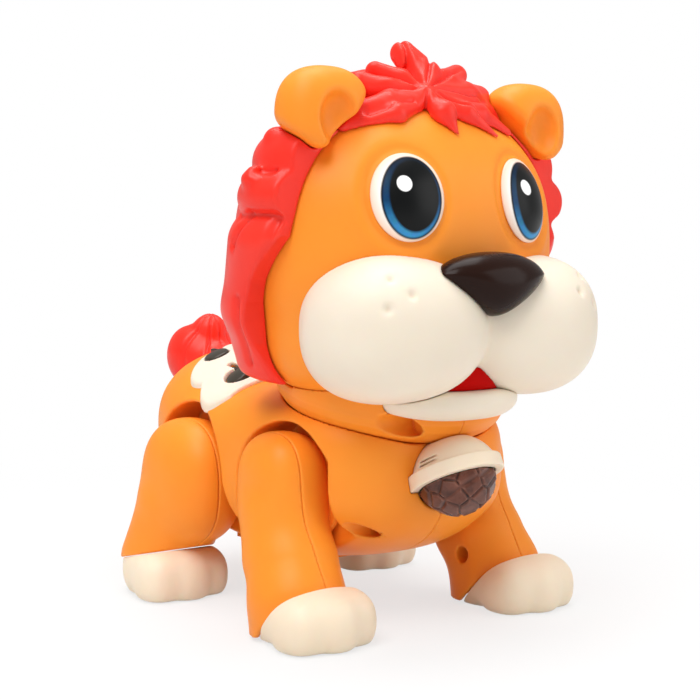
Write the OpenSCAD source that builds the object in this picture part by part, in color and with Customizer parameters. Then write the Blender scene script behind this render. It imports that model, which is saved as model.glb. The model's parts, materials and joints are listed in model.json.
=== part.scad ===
// Musical crawling lion: a walking, lit and keyed toy of moulded shells, in mm.
// The lion faces -Y, its left side is +X and it stands on Z = 0.

/* [Shells] */
// Thickness of the moulded shells
wall = 2.2; // [1.8:0.1:2.6]
// Gap between pieces that move past each other
gap = 0.8; // [0.6:0.1:1]

/* [Torso] */
// Half width of the torso
torso_w = 49; // [48:0.5:51]
// Distance from shoulder axles to hip axles
wheelbase = 64; // [63:0.5:66]
// Height of the leg axles above the floor
axle_z = 50; // [49:0.5:51]

/* [Legs] */
// Distance of each leg's parting plane from the middle
leg_x = 47; // [46:0.5:49]
// Radius of the stub axles
axle_r = 4; // [3.5:0.25:4.5]
// Radius of the drive pins
pin_r = 3; // [2.5:0.25:3]
// Height of the drive pins above the axles
pin_up = 14; // [13:0.5:15]
// Swing of a leg each way in degrees
swing = 10; // [8:1:11]
// Running clearance of turning fits, on the radius
fit = 0.1; // [0.05:0.05:0.1]

/* [Head] */
// Half width of the face
face_w = 62; // [60:1:64]
// Radius of the neck ring
neck_r = 37; // [36:0.5:38]
// Forward lean of the neck axis in degrees
neck_lean = 12.5; // [11:0.5:14]
// Radius of an ear
ear_r = 17.5; // [16:0.5:18.5]

/* [Projector and keys] */
// Radius of the projector ball
ball_r = 15.6; // [15:0.2:16.4]
// Radius of a note key
key_r = 5.2; // [4.8:0.2:5.6]
// Stroke of a note key
key_stroke = 1.5; // [1:0.25:1.75]

/* [Drive] */
// Tooth module of the gears
gear_m = 0.8; // [0.78:0.01:0.82]
// Throw of the eccentrics
throw = 2.4; // [2:0.1:2.6]

/* [Hidden] */
$fn = 36;
mid = 59.3;
shoulder_y = 25;
hip_y = shoulder_y + wheelbase;
half_y = (shoulder_y + hip_y) / 2;
floor_x = 29.5;
leg_in = floor_x + gap;
pocket_f = 25;
front_wall = shoulder_y - 23;
pocket_r = 28.5;
rod_z = axle_z + pin_up;
rod_x = floor_x - wall - 4.4;
rod_t = 3.2;
axle_end = rod_x - 0.4;
neck = [0, 20, 77];
ball_o = [0, -21.5, 56.5];
ball_lean = 27;
box_y = 28;
door_z = 22;
teeth = 36;
few = 12;
crank = [half_y, rod_z];
idler = crank + [18.2, -sqrt(pow(gear_m * (teeth + few) / 2, 2) - 18.2 * 18.2)];
motor_c = idler + [18.6, -sqrt(pow(gear_m * (teeth + few) / 2, 2) - 18.6 * 18.6)];
screws = [[-1.7, 38.4], [hip_y + 35, 84], [hip_y + 24, 33]];
speaker_o = [0, hip_y + 41, 62];
orange = [0.99, 0.58, 0.18];
red = [0.96, 0.22, 0.15];
cream = [0.97, 0.92, 0.83];
grey = [0.45, 0.46, 0.48];
dark = [0.1, 0.1, 0.1];

// rounded forms given as distances, blended softly
function blend(d, k) = -k * ln([for (v = d) exp(-v / k)] * [for (v = d) 1]);

function oval(p, c, r, n = 2) =
    let (a = [for (i = [0:2]) abs(p[i] - c[i]) / r[i]])
    let (k = pow(pow(a[0], n) + pow(a[1], n) + pow(a[2], n), 1 / n))
    let (g = [for (i = [0:2]) pow(a[i], n - 1) / r[i]])
    k < 0.001 ? -min(r) : (k - 1) * pow(k, n - 1) / norm(g);

function limb(p, a, b, ra, rb) =
    let (v = b - a)
    let (t = max(0, min(1, (p - a) * v / (v * v))))
    norm(p - a - v * t) - ra - (rb - ra) * t;

// surface point of a form along one ray
function ray(f, o, d, lv, lo, hi, n) =
    let (m = (lo + hi) / 2)
    n == 0 ? o + d * m :
    f(o + d * m) < lv ? ray(f, o, d, lv, m, hi, n - 1) : ray(f, o, d, lv, lo, m, n - 1);

function aim(ax, t, p) = ax[2] * cos(t) + (ax[0] * cos(p) + ax[1] * sin(p)) * sin(t);

function arcs(f, o, ax, ps, n, lv, far) =
    [for (p = ps) [for (i = [0:n]) ray(f, o, aim(ax, i * 180 / n, p), lv, 0, far, 13)]];

// polar angle at which a form's surface runs into a stop, searched between two angles
function edge(f, stop, o, ax, p, far, lo, hi, n) =
    let (m = (lo + hi) / 2)
    n == 0 ? m :
    stop(ray(f, o, aim(ax, m, p), 0, 0, far, 13)) > 0 ?
        edge(f, stop, o, ax, p, far, m, hi, n - 1) : edge(f, stop, o, ax, p, far, lo, m, n - 1);

function tri(a, b, c) = a == b || b == c || a == c ? [] : [[a, c, b]];

// closed skin woven from meridians that share their two ends
module skin(l) {
    n = len(l[0]);
    k = len(l);
    at = function(m, i) i == 0 ? 0 : i == n - 1 ? 1 : 2 + (m % k) * (n - 2) + i - 1;
    pts = concat([l[0][0], l[0][n - 1]], [for (q = l, i = [1:n - 2]) q[i]]);
    polyhedron(pts, [for (m = [0:k - 1], i = [0:n - 2])
        each concat(tri(at(m, i), at(m + 1, i), at(m + 1, i + 1)),
                    tri(at(m, i), at(m + 1, i + 1), at(m, i + 1)))], convexity = 8);
}

up_x = [[0, 0, 1], [0, 1, 0], [1, 0, 0]];
up_y = [[0, 0, 1], [1, 0, 0], [0, -1, 0]];
up_z = [[0, 1, 0], [1, 0, 0], [0, 0, 1]];

module whole(f, o, ax, n, k, far = 120) {
    skin(arcs(f, o, ax, [for (j = [0:k - 1]) j * 360 / k], n, 0, far));
}

module half(f, o, ax, n, k, lv = 0, far = 120) {
    skin(arcs(f, o, ax, [for (j = [0:k]) j * 180 / k], n, lv, far));
}

// open shell between two forms, out to the edge where a stop ends each of them
module cup(out, inn, stop, o, ax, n, m, k, far = 120, wide = 150, lean = 1) {
    skin([for (j = [0:k - 1]) let (p = j * 360 / k)
        let (a = edge(out, stop, o, ax, p, far, 0, wide, 10), b = edge(inn, stop, o, ax, p, far, 0, wide, 10))
        concat([for (i = [0:n]) ray(out, o, aim(ax, a * i / n, p), 0, 0, far, 13)],
               [for (i = [m:-1:0]) ray(inn, o, aim(ax, b * (1 - pow(1 - i / m, lean)), p), 0, 0, far, 13)])]);
}

module along_x(x0, x1, r, y, z) {
    translate([x0, y, z]) rotate([0, 90, 0]) cylinder(r = r, h = x1 - x0);
}

module plate_x(x0, x1) {
    translate([x0, 0, 0]) rotate([90, 0, 90]) linear_extrude(x1 - x0) children();
}

module on_neck() {
    translate(neck) rotate([neck_lean, 0, 0]) children();
}

// torso
torso_o = [0, half_y + 8, 54];

function torso_f(p) = blend([
    oval(p, [0, half_y + 2, 59], [torso_w, 74, 29], 3.3),
    oval(p, [0, half_y + 2, 51], [torso_w - 3, 70, 30.5], 2.6),
    oval(p, [0, hip_y + 14, 67], [torso_w - 5, 44, 32], 2.3)], 2.5);

torso_fun = function(p) torso_f(p);

function rump_y(x, z) = ray(torso_fun, [x, hip_y + 14, z], [0, 1, 0], -1, 0, 70, 13)[1];

function side_x(y, z) = ray(torso_fun, [0, y, z], [1, 0, 0], -1, 0, 70, 13)[0];

module pocket(y, z, r, front, grow, x0) {
    plate_x(x0, 90) intersection() {
        union() {
            translate([y, z]) circle(r + grow);
            polygon([[y - r - grow - 11, 4], [y - r - grow, z], [y + r + grow, z], [y + r + grow + 11, 4]]);
        }
        translate([front - grow, 0]) square([120, 120]);
    }
}

module pockets(grow, x0) {
    pocket(shoulder_y - 1, axle_z + 1.5, pocket_f, front_wall, grow, x0);
    pocket(hip_y, axle_z, pocket_r, hip_y - 50, grow, x0);
}

module pin_slot(y) {
    a = swing + 3;
    w = pin_r + 0.7;
    plate_x(floor_x - wall - 1, floor_x + 1) translate([y, axle_z]) {
        for (s = [-a, a]) rotate(s) translate([0, pin_up]) circle(w);
        polygon(concat([for (i = [-4:4]) (pin_up + w - 0.2) * [sin(i * a / 4), cos(i * a / 4)]],
                       [for (i = [4:-1:-4]) (pin_up - w + 0.2) * [sin(i * a / 4), cos(i * a / 4)]]));
    }
}

module neck_cut(t = 0) {
    r = neck_r + gap + t;
    on_neck() rotate_extrude() polygon([[0, -t], [r - gap + 0.4, -t], [r + 3, 2.6 - t], [r + 5.4, 5.6 - t],
        [r + 6.7, 8.8], [r + 7, 12], [r + 7, 40], [0, 40]]);
}

module torso_half(right) {
    difference() {
        union() {
            difference() {
                half(torso_fun, torso_o, up_y, 28, 14);
                difference() {
                    translate([-0.01, 0, 0]) half(torso_fun, torso_o, up_y, 16, 8, -wall);
                    pockets(wall, floor_x - wall);
                    on_neck() translate([0, 0, -2.6]) cylinder(r = 60, h = 60);
                    translate([-1, -40, 0]) cube([60, 240, door_z + wall]);
                }
            }
            for (y = [shoulder_y, hip_y]) along_x(floor_x - wall - 4, floor_x, axle_r + 2.6, y, axle_z);
            for (s = screws) along_x(0, side_x(s[0], s[1]) - 6, 4.4, s[0], s[1]);
            for (z = [-12, 12]) translate(speaker_o + [10, 0, z]) rotate([-90, 0, 0])
                cylinder(r = 2.4, h = rump_y(10, speaker_o[2] + z) - speaker_o[1], $fn = 24);
        }
        pockets(0, floor_x);
        neck_cut();
        on_neck() translate([0, 0, -5]) cylinder(r = 11 + fit, h = 10);
        for (y = [shoulder_y, hip_y]) {
            along_x(10, 40, axle_r + fit, y, axle_z);
            pin_slot(y);
        }
        on_ball() {
            intersection() {
                sphere(ball_r + 1.05, $fn = 40);
                translate([0, 0, -0.65]) cylinder(r = 40, h = 40);
            }
            translate([0, 0, 1.6]) sphere(ball_r - 0.1, $fn = 40);
        }
        on_ball() translate([0, 0, -0.65]) cylinder(r = ball_r + 2.25, h = 5.5, $fn = 48);
        translate(ball_o) rotate([90, 0, 0]) cylinder(r = 4, h = 60, center = true);
        translate([-1, box_y - 0.05, 0]) cube([26.05, 60.1, 45]);
        for (k = [0:3]) mirror([right ? 1 : 0, 0, 0]) at_key(k) {
            translate([0, 0, -9]) linear_extrude(20) note(0.4);
            translate([0, 0, -wall - 7.4]) cylinder(r = key_r + 2.1, h = 4.1);
        }
        translate([-1, box_y + 68, 0]) cube([6.6, 5, 32]);
        for (a = [0:60:300]) translate(speaker_o + 9 * [cos(a + 30), 0, sin(a + 30)]) rotate([-90, 0, 0])
            cylinder(r = 1.6, h = 40, $fn = 16);
        for (s = screws) {
            along_x(-1, right ? 90 : 15, 1.42, s[0], s[1]);
            if (right) along_x(12, 90, 3.2, s[0], s[1]);
        }
        translate([0, box_y + 64, 0]) cylinder(r = 1.42, h = 40);
        translate([0, -40, -1]) cube([60, 240, door_z + 1]);
    }
}

module torso_left_shell() {
    color(orange) torso_half(false);
}

module torso_right_shell() {
    color(orange) mirror([1, 0, 0]) torso_half(true);
}

module screw(len, r = 1.4) {
    difference() {
        union() {
            cylinder(r = 2 * r, h = 1.8, $fn = 24);
            cylinder(r = r, h = len, $fn = 20);
        }
        for (a = [0, 90]) rotate(a) translate([-r, -0.3, -1]) cube([2 * r, 0.6, 1.8]);
    }
}

module torso_screws() {
    color(grey) {
        for (s = screws) translate([-12, s[0], s[1]]) translate([-1.8, 0, 0]) rotate([0, 90, 0]) screw(26);
        translate([0, box_y + 64, door_z - 1.8]) screw(9);
    }
}

// four note keys and their plate
keys = [[19 - torso_w, 77.5, -36], [torso_w - 19, 77.5, 36], [24 - torso_w, 102, -25], [torso_w - 24, 102, 25]];

function back_z(x, y, lv = 0) = ray(torso_fun, [x, y, 60], [0, 0, 1], lv, 0, 60, 14)[2];

module at_key(i) {
    k = keys[i];
    translate([k[0], k[1], back_z(k[0], k[1])]) rotate([0, k[2], 0]) children();
}

module note(c) {
    circle(key_r + c);
    translate([key_r - 1.9 - c, -c]) square([1.9 + 2 * c, 10 + 2 * c]);
}

module key(i) {
    color(dark) at_key(i) {
        translate([0, 0, -wall - 3.8]) linear_extrude(wall + 6.2) note(0);
        translate([0, 0, -wall - 5.2]) cylinder(r = key_r + 1.7, h = 1.6);
        translate([0, 0, -wall - 6.6]) cylinder(r = 2, h = 2.2, $fn = 24);
    }
}

module key_front_right() {
    key(0);
}

module key_front_left() {
    key(1);
}

module key_rear_right() {
    key(2);
}

module key_rear_left() {
    key(3);
}

plate_c = [0, 90];

// how far the plate's scalloped outline lies from its centre
function reach(a) = let (b = 90 - abs(90 - a)) min(b < -5 ? -24 / sin(b) : 99,
    (torso_w - 11 + 9 * cos(2 * b + 44)) * (0.87 + 0.13 * abs(cos(4 * b + 90))));

function on_back(a, t, lv) =
    let (q = plate_c + reach(a) * t * [cos(a), sin(a)]) [q[0], q[1], back_z(q[0], q[1], lv)];

module key_plate() {
    n = 3;
    color(cream) difference() {
        skin([for (j = [55:-1:0]) let (a = j * 360 / 56 - 90)
            concat([for (i = [0:n]) on_back(a, i / n, 1.5)], [for (i = [n:-1:0]) on_back(a, i / n, 0.6)])]);
        for (k = [0:3]) at_key(k) translate([0, 0, -9]) linear_extrude(20) note(0.4);
    }
}

// tail
module tail() {
    f = function(p) max(-torso_f(p), blend([
        limb(p, [0, hip_y + 48, 86], [0, hip_y + 69, 94], 10, 10),
        limb(p, [0, hip_y + 67, 90], [0, hip_y + 60, 104], 11, 7),
        oval(p, [-7, hip_y + 67, 92], [9, 11, 13]),
        oval(p, [7, hip_y + 67, 92], [9, 11, 13])], 2));
    color(red) whole(f, [0, hip_y + 64, 95], up_z, 10, 16, 60);
}

// projector ball
module on_ball() {
    translate(ball_o) rotate([-ball_lean, 0, 0]) children();
}

module off_ball() {
    rotate([ball_lean, 0, 0]) translate(-ball_o) children();
}

module projector_cap() {
    color(cream) on_ball() difference() {
        union() {
            intersection() {
                sphere(ball_r + 1, $fn = 40);
                cylinder(r = 40, h = 40);
            }
            translate([0, 0, -0.6]) cylinder(r = ball_r + 2.2, h = 5.4, $fn = 48);
        }
        difference() {
            sphere(ball_r - 1.2, $fn = 40);
            off_ball() neck_cut(wall);
        }
        translate([0, 0, -10]) cylinder(r = ball_r - 1.2, h = 10.1);
        off_ball() neck_cut();
    }
}

module projector_dome() {
    color([0.4, 0.22, 0.15]) on_ball() difference() {
        intersection() {
            translate([0, 0, 1.6]) sphere(ball_r - 0.6);
            translate([0, 0, -40.6]) cylinder(r = 40, h = 40);
        }
        translate([0, 0, 1.6]) sphere(ball_r - 2.2);
    }
}

module light_board() {
    color([0.1, 0.4, 0.2]) on_ball() {
        cylinder(r = ball_r - 1.5, h = 1.6);
        for (a = [90, 210, 330]) rotate(a) translate([6, 0, -5]) {
            cylinder(r = 2.5, h = 5.1, $fn = 20);
            sphere(2.5, $fn = 20);
        }
    }
}

// batteries
module battery_box() {
    color(grey) difference() {
        translate([-25, box_y, door_z + 2]) cube([50, 60, 18]);
        for (x = [-15.6, 0, 15.6]) translate([x, box_y + 2, door_z + 10]) rotate([-90, 0, 0]) cylinder(r = 7.5, h = 56);
        for (x = [-15.6, 0, 15.6]) translate([x - 7.4, box_y + 2, 0]) cube([14.8, 56, door_z + 10]);
    }
}

module battery_cells() {
    color([0.15, 0.25, 0.3]) for (i = [-1:1]) translate([15.6 * i, box_y + (i == 0 ? 55.4 : 4.6), door_z + 10])
        rotate([i == 0 ? 90 : -90, 0, 0]) {
            cylinder(r = 7.1, h = 49);
            cylinder(r = 2.6, h = 50.4, $fn = 24);
        }
}

module battery_contacts() {
    color([0.8, 0.8, 0.78]) {
        for (x = [-15.6, 0, 15.6], y = [2, 57.5]) translate([x - 5.5, box_y + y, door_z + 5.5]) cube([11, 0.5, 9]);
    }
}

module battery_door() {
    color(orange) difference() {
        union() {
            translate([-24.8, box_y + 0.3, door_z]) cube([49.6, 59.4, 1.9]);
            translate([-6, box_y + 59, door_z - 1.8]) cube([12, 8.4, 1.8]);
            translate([-6, box_y + 56, door_z - 1.8]) cube([12, 4, 2]);
        }
        translate([0, box_y + 64, door_z - 3]) cylinder(r = 3, h = 8);
    }
}

// electronics
module circuit_board() {
    color([0.1, 0.4, 0.2]) {
        translate([-22, 73, rod_z + 10]) cube([44, 43, 1.6]);
        for (k = keys) translate([k[0] * 0.62 - 3, k[1] - 3, rod_z + 11.5]) cube([6, 6, 1.4]);
    }
}

module speaker() {
    color(dark) translate(speaker_o) rotate([90, 0, 0]) difference() {
        union() {
            cylinder(r = 16, h = 2);
            translate([0, 0, 1.9]) cylinder(r1 = 14, r2 = 9, h = 6);
            translate([0, 0, 7.8]) cylinder(r = 9, h = 5);
        }
        translate([0, 0, -0.1]) cylinder(r1 = 12.5, r2 = 6, h = 6);
    }
}

module power_switch() {
    color(dark) translate([0, box_y + 70.5, 0]) {
        translate([-2, -2, door_z - 1.6]) cube([4, 4, wall + 5]);
        translate([-7.4, -3, door_z + wall + 2.6]) cube([14.8, 6, 2]);
    }
}

// drive
module gear(z, t) {
    r = gear_m * z / 2;
    linear_extrude(t) union() {
        circle(r - 1.22 * gear_m, $fn = 2 * z);
        for (i = [0:z - 1]) rotate(i * 360 / z) polygon([[r - 1.5 * gear_m, -0.95 * gear_m],
            [r, -0.7 * gear_m], [r + 0.9 * gear_m, -0.32 * gear_m], [r + 0.9 * gear_m, 0.32 * gear_m],
            [r, 0.7 * gear_m], [r - 1.5 * gear_m, 0.95 * gear_m]]);
    }
}

module on_x(c, x) {
    translate([x, c[0], c[1]]) rotate([90, 0, 90]) children();
}

function dirn(a, b) = atan2(b[1] - a[1], b[0] - a[0]);

module crank_shaft() {
    color(cream) {
        on_x(crank, -rod_x - rod_t) cylinder(r = 2.5, h = 2 * (rod_x + rod_t));
        on_x(crank, 0) rotate(dirn(crank, idler) + 180 / teeth) gear(teeth, 5);
        on_x(crank + [throw, 0], -rod_x - rod_t) cylinder(r = 4.5, h = rod_t);
        on_x(crank - [throw, 0], rod_x) cylinder(r = 4.5, h = rod_t);
    }
}

module idler_gear() {
    color(cream) {
        on_x(idler, -0.5) rotate(dirn(idler, crank)) gear(few, 6);
        on_x(idler, -12) rotate(dirn(idler, motor_c) + 180 / teeth) gear(teeth, 5);
        on_x(idler, -7.1) cylinder(r = 3.4, h = 6.7);
        on_x(idler, -15) cylinder(r = 1.5, h = 25, $fn = 24);
    }
}

module motor_pinion() {
    color([0.8, 0.7, 0.4]) on_x(motor_c, -12.4) difference() {
        rotate(dirn(motor_c, idler)) gear(few, 6);
        translate([0, 0, -1]) cylinder(r = 1 + fit / 2, h = 9, $fn = 24);
    }
}

module motor() {
    color([0.75, 0.76, 0.78]) {
        on_x(motor_c, -4.5) cylinder(r = 10, h = 24);
        on_x(motor_c, -12.4) cylinder(r = 1, h = 9, $fn = 24);
        on_x(motor_c, -6) cylinder(r = 3, h = 2, $fn = 24);
    }
}

module gear_frame() {
    z0 = door_z + 20;
    module side(x, hole) {
        plate_x(x, x + 2) difference() {
            translate([crank[0] - 10, z0]) square([60, rod_z + 8 - z0]);
            translate(crank) circle(2.5 + fit);
            translate(idler) circle(1.5 + fit, $fn = 24);
            translate(motor_c) circle(hole + 0.05);
        }
    }
    color([0.9, 0.9, 0.88]) {
        side(-15, 4);
        side(8, 10);
        translate([-15, crank[0] - 10, z0]) cube([25, 3, 4]);
        translate([-15, crank[0] + 47, z0]) cube([25, 3, 4]);
        translate([-15, crank[0] + 46, rod_z + 5]) cube([25, 4, 3]);
    }
}

// link rods
module rod(s) {
    color(cream) plate_x(s > 0 ? rod_x : -rod_x - rod_t, s > 0 ? rod_x + rod_t : -rod_x) difference() {
        union() {
            for (y = [shoulder_y, hip_y]) translate([y, rod_z]) circle(pin_r + 2.4);
            translate([shoulder_y, rod_z - 2.2]) square([wheelbase, 4.4]);
            translate([half_y - 14, rod_z - 12]) square([28, 24]);
        }
        for (y = [shoulder_y, hip_y]) translate([y, rod_z]) circle(pin_r + fit);
        translate([half_y - 11, rod_z - 9]) square([22, 18]);
    }
}

module link_rod_right() {
    rod(-1);
}

module link_rod_left() {
    rod(1);
}

// legs
function ankle(front) = front ? [leg_x + 1, shoulder_y - 14, 13] : [leg_x + 1.5, hip_y + 17, 13];

function leg_f(p, front) = front ?
    blend([oval(p, [leg_x - 3.3, shoulder_y + 1.5, axle_z + 2], [14.6, 17, 20.6], 2.6),
           limb(p, [leg_x - 2.2, shoulder_y - 0.5, axle_z - 8], [leg_x - 1.4, shoulder_y - 5, 28], 16, 16.8),
           limb(p, [leg_x - 0.8, shoulder_y - 9, 24], ankle(true), 16.4, 17.2),
           limb(p, ankle(true), ankle(true) - [0, 0, 13], 17.2, 17.2)], 1.5) :
    blend([oval(p, [leg_x - 2, hip_y + 1, axle_z - 3], [16.5, 24.5, 25], 2.4),
           limb(p, [leg_x - 1, hip_y + 9, axle_z - 16], ankle(false), 17, 18)], 2.5);

function leg_o(front) = [leg_x, front ? shoulder_y - 5 : hip_y + 7, 33];

// where a cross hole meets the leg's skin, on the side given
function leg_side(front, s, k) = ray(function(p) leg_f(p, front), [leg_x, s[0], s[1]], [k, 0, 0], -1, 0, 40, 12)[0];

module over_hem(front) {
    translate([0, front ? shoulder_y - 15 : hip_y + 6, front ? 4 : 18]) rotate([front ? -43 : -13, 0, 0])
        translate([0, -100, 0]) cube([100, 200, 100]);
}

outward = [[0, 1, 0], [1, 0, 0], [0, 0, 1]];
inward = [[0, -1, 0], [-1, 0, 0], [0, 0, 1]];

module leg_skin(front, ax) {
    f = function(p) leg_f(p, front);
    difference() {
        intersection() {
            half(f, leg_o(front), ax, 12, 9, 0, 60);
            over_hem(front);
            translate([leg_in, -50, 1.2]) cube([60, 300, 200]);
        }
        difference() {
            half(f, leg_o(front), ax, 8, 6, -wall, 60);
            translate([leg_in - 10, -50, 0]) cube([10 + wall, 300, 100]);
        }
    }
}

function leg_screw(front) = front ? [shoulder_y - 14, 20] : [hip_y + 13, 27];

module leg_inner(front) {
    y = front ? shoulder_y : hip_y;
    s = leg_screw(front);
    color(orange) difference() {
        union() {
            leg_skin(front, inward);
            along_x(leg_in, leg_in + wall, front ? 18.4 : 21, y, axle_z);
            along_x(axle_end, leg_in + 1, axle_r, y, axle_z);
            along_x(rod_x - 0.4, leg_in + 1, pin_r, y, rod_z);
            along_x(max(leg_in, leg_side(front, s, -1)), leg_x, 5, s[0], s[1]);
        }
        along_x(0, axle_end + 9, 1.32, y, axle_z);
        along_x(0, leg_x - 6, 3.2, s[0], s[1]);
        along_x(0, leg_x + 1, 1.42, s[0], s[1]);
    }
}

module leg_outer(front) {
    s = leg_screw(front);
    color(orange) difference() {
        union() {
            leg_skin(front, outward);
            along_x(leg_x, leg_side(front, s, 1), 4.4, s[0], s[1]);
        }
        along_x(0, leg_x + 9, 1.42, s[0], s[1]);
    }
}

module paw(front) {
    a = ankle(front);
    k = front ? 0 : 3.5;
    f = function(p) blend([
        limb(p, a + [0, 1, 3], a + [0, 0, -6], 16, 16),
        oval(p, a + [1, k - 10.5, -3.5], [18, 20, 12.4], 2.4),
        oval(p, a + [-9.5, k - 18, -5], [9, 11, 11], 2.3),
        oval(p, a + [1, k - 21, -5], [9, 11, 11.5], 2.3),
        oval(p, a + [11.5, k - 18, -5], [9, 11, 11], 2.3)], 1);
    color(cream) difference() {
        whole(f, a + [0, -6, -4], up_z, 10, 18, 70);
        over_hem(front);
        translate([0, -100, -60]) cube([120, 400, 60]);
    }
}

module leg_screws(front) {
    s = leg_screw(front);
    y = front ? shoulder_y : hip_y;
    color(grey) {
        translate([leg_x - 7.8, s[0], s[1]]) rotate([0, 90, 0]) screw(14);
        translate([axle_end - 1.6, y, axle_z]) rotate([0, 90, 0]) {
            cylinder(r = axle_r + 1.4, h = 1.6, $fn = 28);
            cylinder(r = 1.3, h = 10, $fn = 20);
        }
    }
}

module right() {
    mirror([1, 0, 0]) children();
}

module front_left_leg_outer() {
    leg_outer(true);
}

module front_left_leg_inner() {
    leg_inner(true);
}

module front_left_paw() {
    paw(true);
}

module front_left_leg_screws() {
    leg_screws(true);
}

module front_right_leg_outer() {
    right() leg_outer(true);
}

module front_right_leg_inner() {
    right() leg_inner(true);
}

module front_right_paw() {
    right() paw(true);
}

module front_right_leg_screws() {
    right() leg_screws(true);
}

module rear_left_leg_outer() {
    leg_outer(false);
}

module rear_left_leg_inner() {
    leg_inner(false);
}

module rear_left_paw() {
    paw(false);
}

module rear_left_leg_screws() {
    leg_screws(false);
}

module rear_right_leg_outer() {
    right() leg_outer(false);
}

module rear_right_leg_inner() {
    right() leg_inner(false);
}

module rear_right_paw() {
    right() paw(false);
}

module rear_right_leg_screws() {
    right() leg_screws(false);
}

// head
front_ax = [[1, 0, 0], [0, 0.407, -0.913], [0, -0.913, -0.407]];
rear_ax = [[-1, 0, 0], [0, 0.407, -0.913], [0, 0.913, 0.407]];
head_o = [0, 14, 132];

function face_f(p) = blend([
    oval(p, [0, 12, 142], [face_w, 43, 54], 2.3),
    oval(p, [0, 14, 107], [face_w - 9, 38, 27], 2.2)], 4);

function muzzle_f(p) = blend([
    oval(p, [3.5 - face_w / 2, -19, 112], [face_w / 2 + 2, 28.5, 26], 2.2),
    oval(p, [face_w / 2 - 3.5, -19, 112], [face_w / 2 + 2, 28.5, 26], 2.2)], 1.6);

jaw_o = [0, -14, 86];
jaw_size = [29, 21, 9.5];
jaw_low = 12.1;
jaw_top = 89.6;

function jaw_f(p) = max(oval(p, jaw_o, jaw_size, 2.3), jaw_low - over_neck(p), p[2] - jaw_top);

function nose_f(p) = let (t = max(0.3, min(1, 1 + (p[2] - 131) * 0.044)))
    oval([p[0] / t, p[1] - 0.002 * p[0] * p[0], p[2]], [0, -39.5, 127.6], [25, 10.8, 11.3], 2.1);

function ear_f(p) = let (q = [abs(p[0]), p[1], p[2]]) blend([
    oval(q, [face_w - 15, -4, 185.5], [ear_r, 12, ear_r], 2.5),
    limb(q, [face_w - 22, 0, 171], [face_w - 16.5, -2, 182], 9, 11)], 2);

function mane_f(p) = let (q = [abs(p[0]), p[1], p[2]]) blend([
    oval(p, [0, 12.5, 140], [face_w + 2.5, 46.5, 57], 2.3),
    oval(q, [face_w - 9, 10, 171], [13, 20, 12]),
    oval(q, [face_w - 4.5, 10.5, 155], [14, 20, 13]),
    oval(q, [face_w - 5, 14, 137], [15, 20, 14]),
    oval(q, [face_w - 10, 25, 118], [14, 20, 13]),
    oval(q, [face_w - 20, 32, 102], [12, 20, 11])], 2);

// distance above the neck ring, behind the mane's front edge, and above the hair line of the crown
function over_neck(p) = let (q = p - neck) q[2] * cos(neck_lean) - q[1] * sin(neck_lean);

function behind(p) = p[1] - 6 - 11 * cos(180 * max(0, min(1, (p[2] - 110) / 32)));

function crown(p) = (p[2] - 180) * cos(40) - (p[1] - 12) * sin(40);

function fringe(x) = x < -5 ? 188 + (x + 5) * 0.17 : 180.6 + 6 * (1 - 2 * abs(((x + 100) / 20) % 1 - 0.5));

module face_shell() {
    stop = function(p) min(7 - behind(p), over_neck(p) - 12);
    color(orange) cup(function(p) face_f(p), function(p) face_f(p) + wall, stop, head_o, front_ax, 13, 4, 34);
}

module eye(s) {
    n = 4;
    c = [(face_w - 35.5) * s, -19.5, 157.5];
    d = [sin(17 * s), -cos(17 * s), 0];
    u = [-d[1], d[0], 0];
    f = function(p) face_f(p);
    at = function(a, t, lv) ray(f, c + t * (13.8 * cos(a) * u + [0, 0, 15.4 * sin(a)]), d, lv, 0, 40, 13);
    color([0.05, 0.12, 0.2]) skin([for (j = [21:-1:0]) let (a = j * 360 / 22)
        concat([for (i = [0:n]) at(a, i / n, 0.6 + 2.6 * (1 - i * i / n / n))],
               [for (i = [n:-1:0]) at(a, i / n, 0.2)])]);
}

module eye_right() {
    eye(-1);
}

module eye_left() {
    eye(1);
}

module muzzle() {
    color(cream) cup(function(p) muzzle_f(p), function(p) muzzle_f(p) + wall, function(p) face_f(p) - 0.25,
        [0, -16, 112], up_y, 11, 4, 40, 80);
}

module nose() {
    f = function(p) max(nose_f(p), 0.2 - face_f(p), 0.25 - muzzle_f(p));
    color(dark) whole(f, [0, -44, 128], up_y, 10, 20, 40);
}

module lower_jaw() {
    f = function(p) max(oval(p, jaw_o, jaw_size, 2.3), 0.25 - muzzle_f(p), 0.25 - face_f(p));
    color(cream) intersection() {
        whole(f, [0, -26, 84.5], up_y, 9, 36, 60);
        on_neck() translate([-60, -100, jaw_low]) cube([120, 200, 60]);
        translate([-60, -80, 40]) cube([120, 160, jaw_top - 40]);
    }
}

module mouth_insert() {
    f = function(p) max(max(oval(p, [0, -21, 95], [21, 11.8, 10], 2.2), 0.15 - face_f(p)), 0.15 - min(muzzle_f(p), jaw_f(p)));
    color([0.7, 0.03, 0.02]) whole(f, [0, -31, 93.5], up_y, 8, 18, 40);
}

module ear(s) {
    f = function(p) max(max(ear_f(p), 0.2 - face_f(p)), -oval(p, [s * (face_w - 17), -17, 183.5], [10.5, 8, 11.5]));
    color(orange) whole(f, [s * (face_w - 14.5), 0, 187], up_y, 11, 22, 50);
}

module ear_right() {
    ear(-1);
}

module ear_left() {
    ear(1);
}

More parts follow.
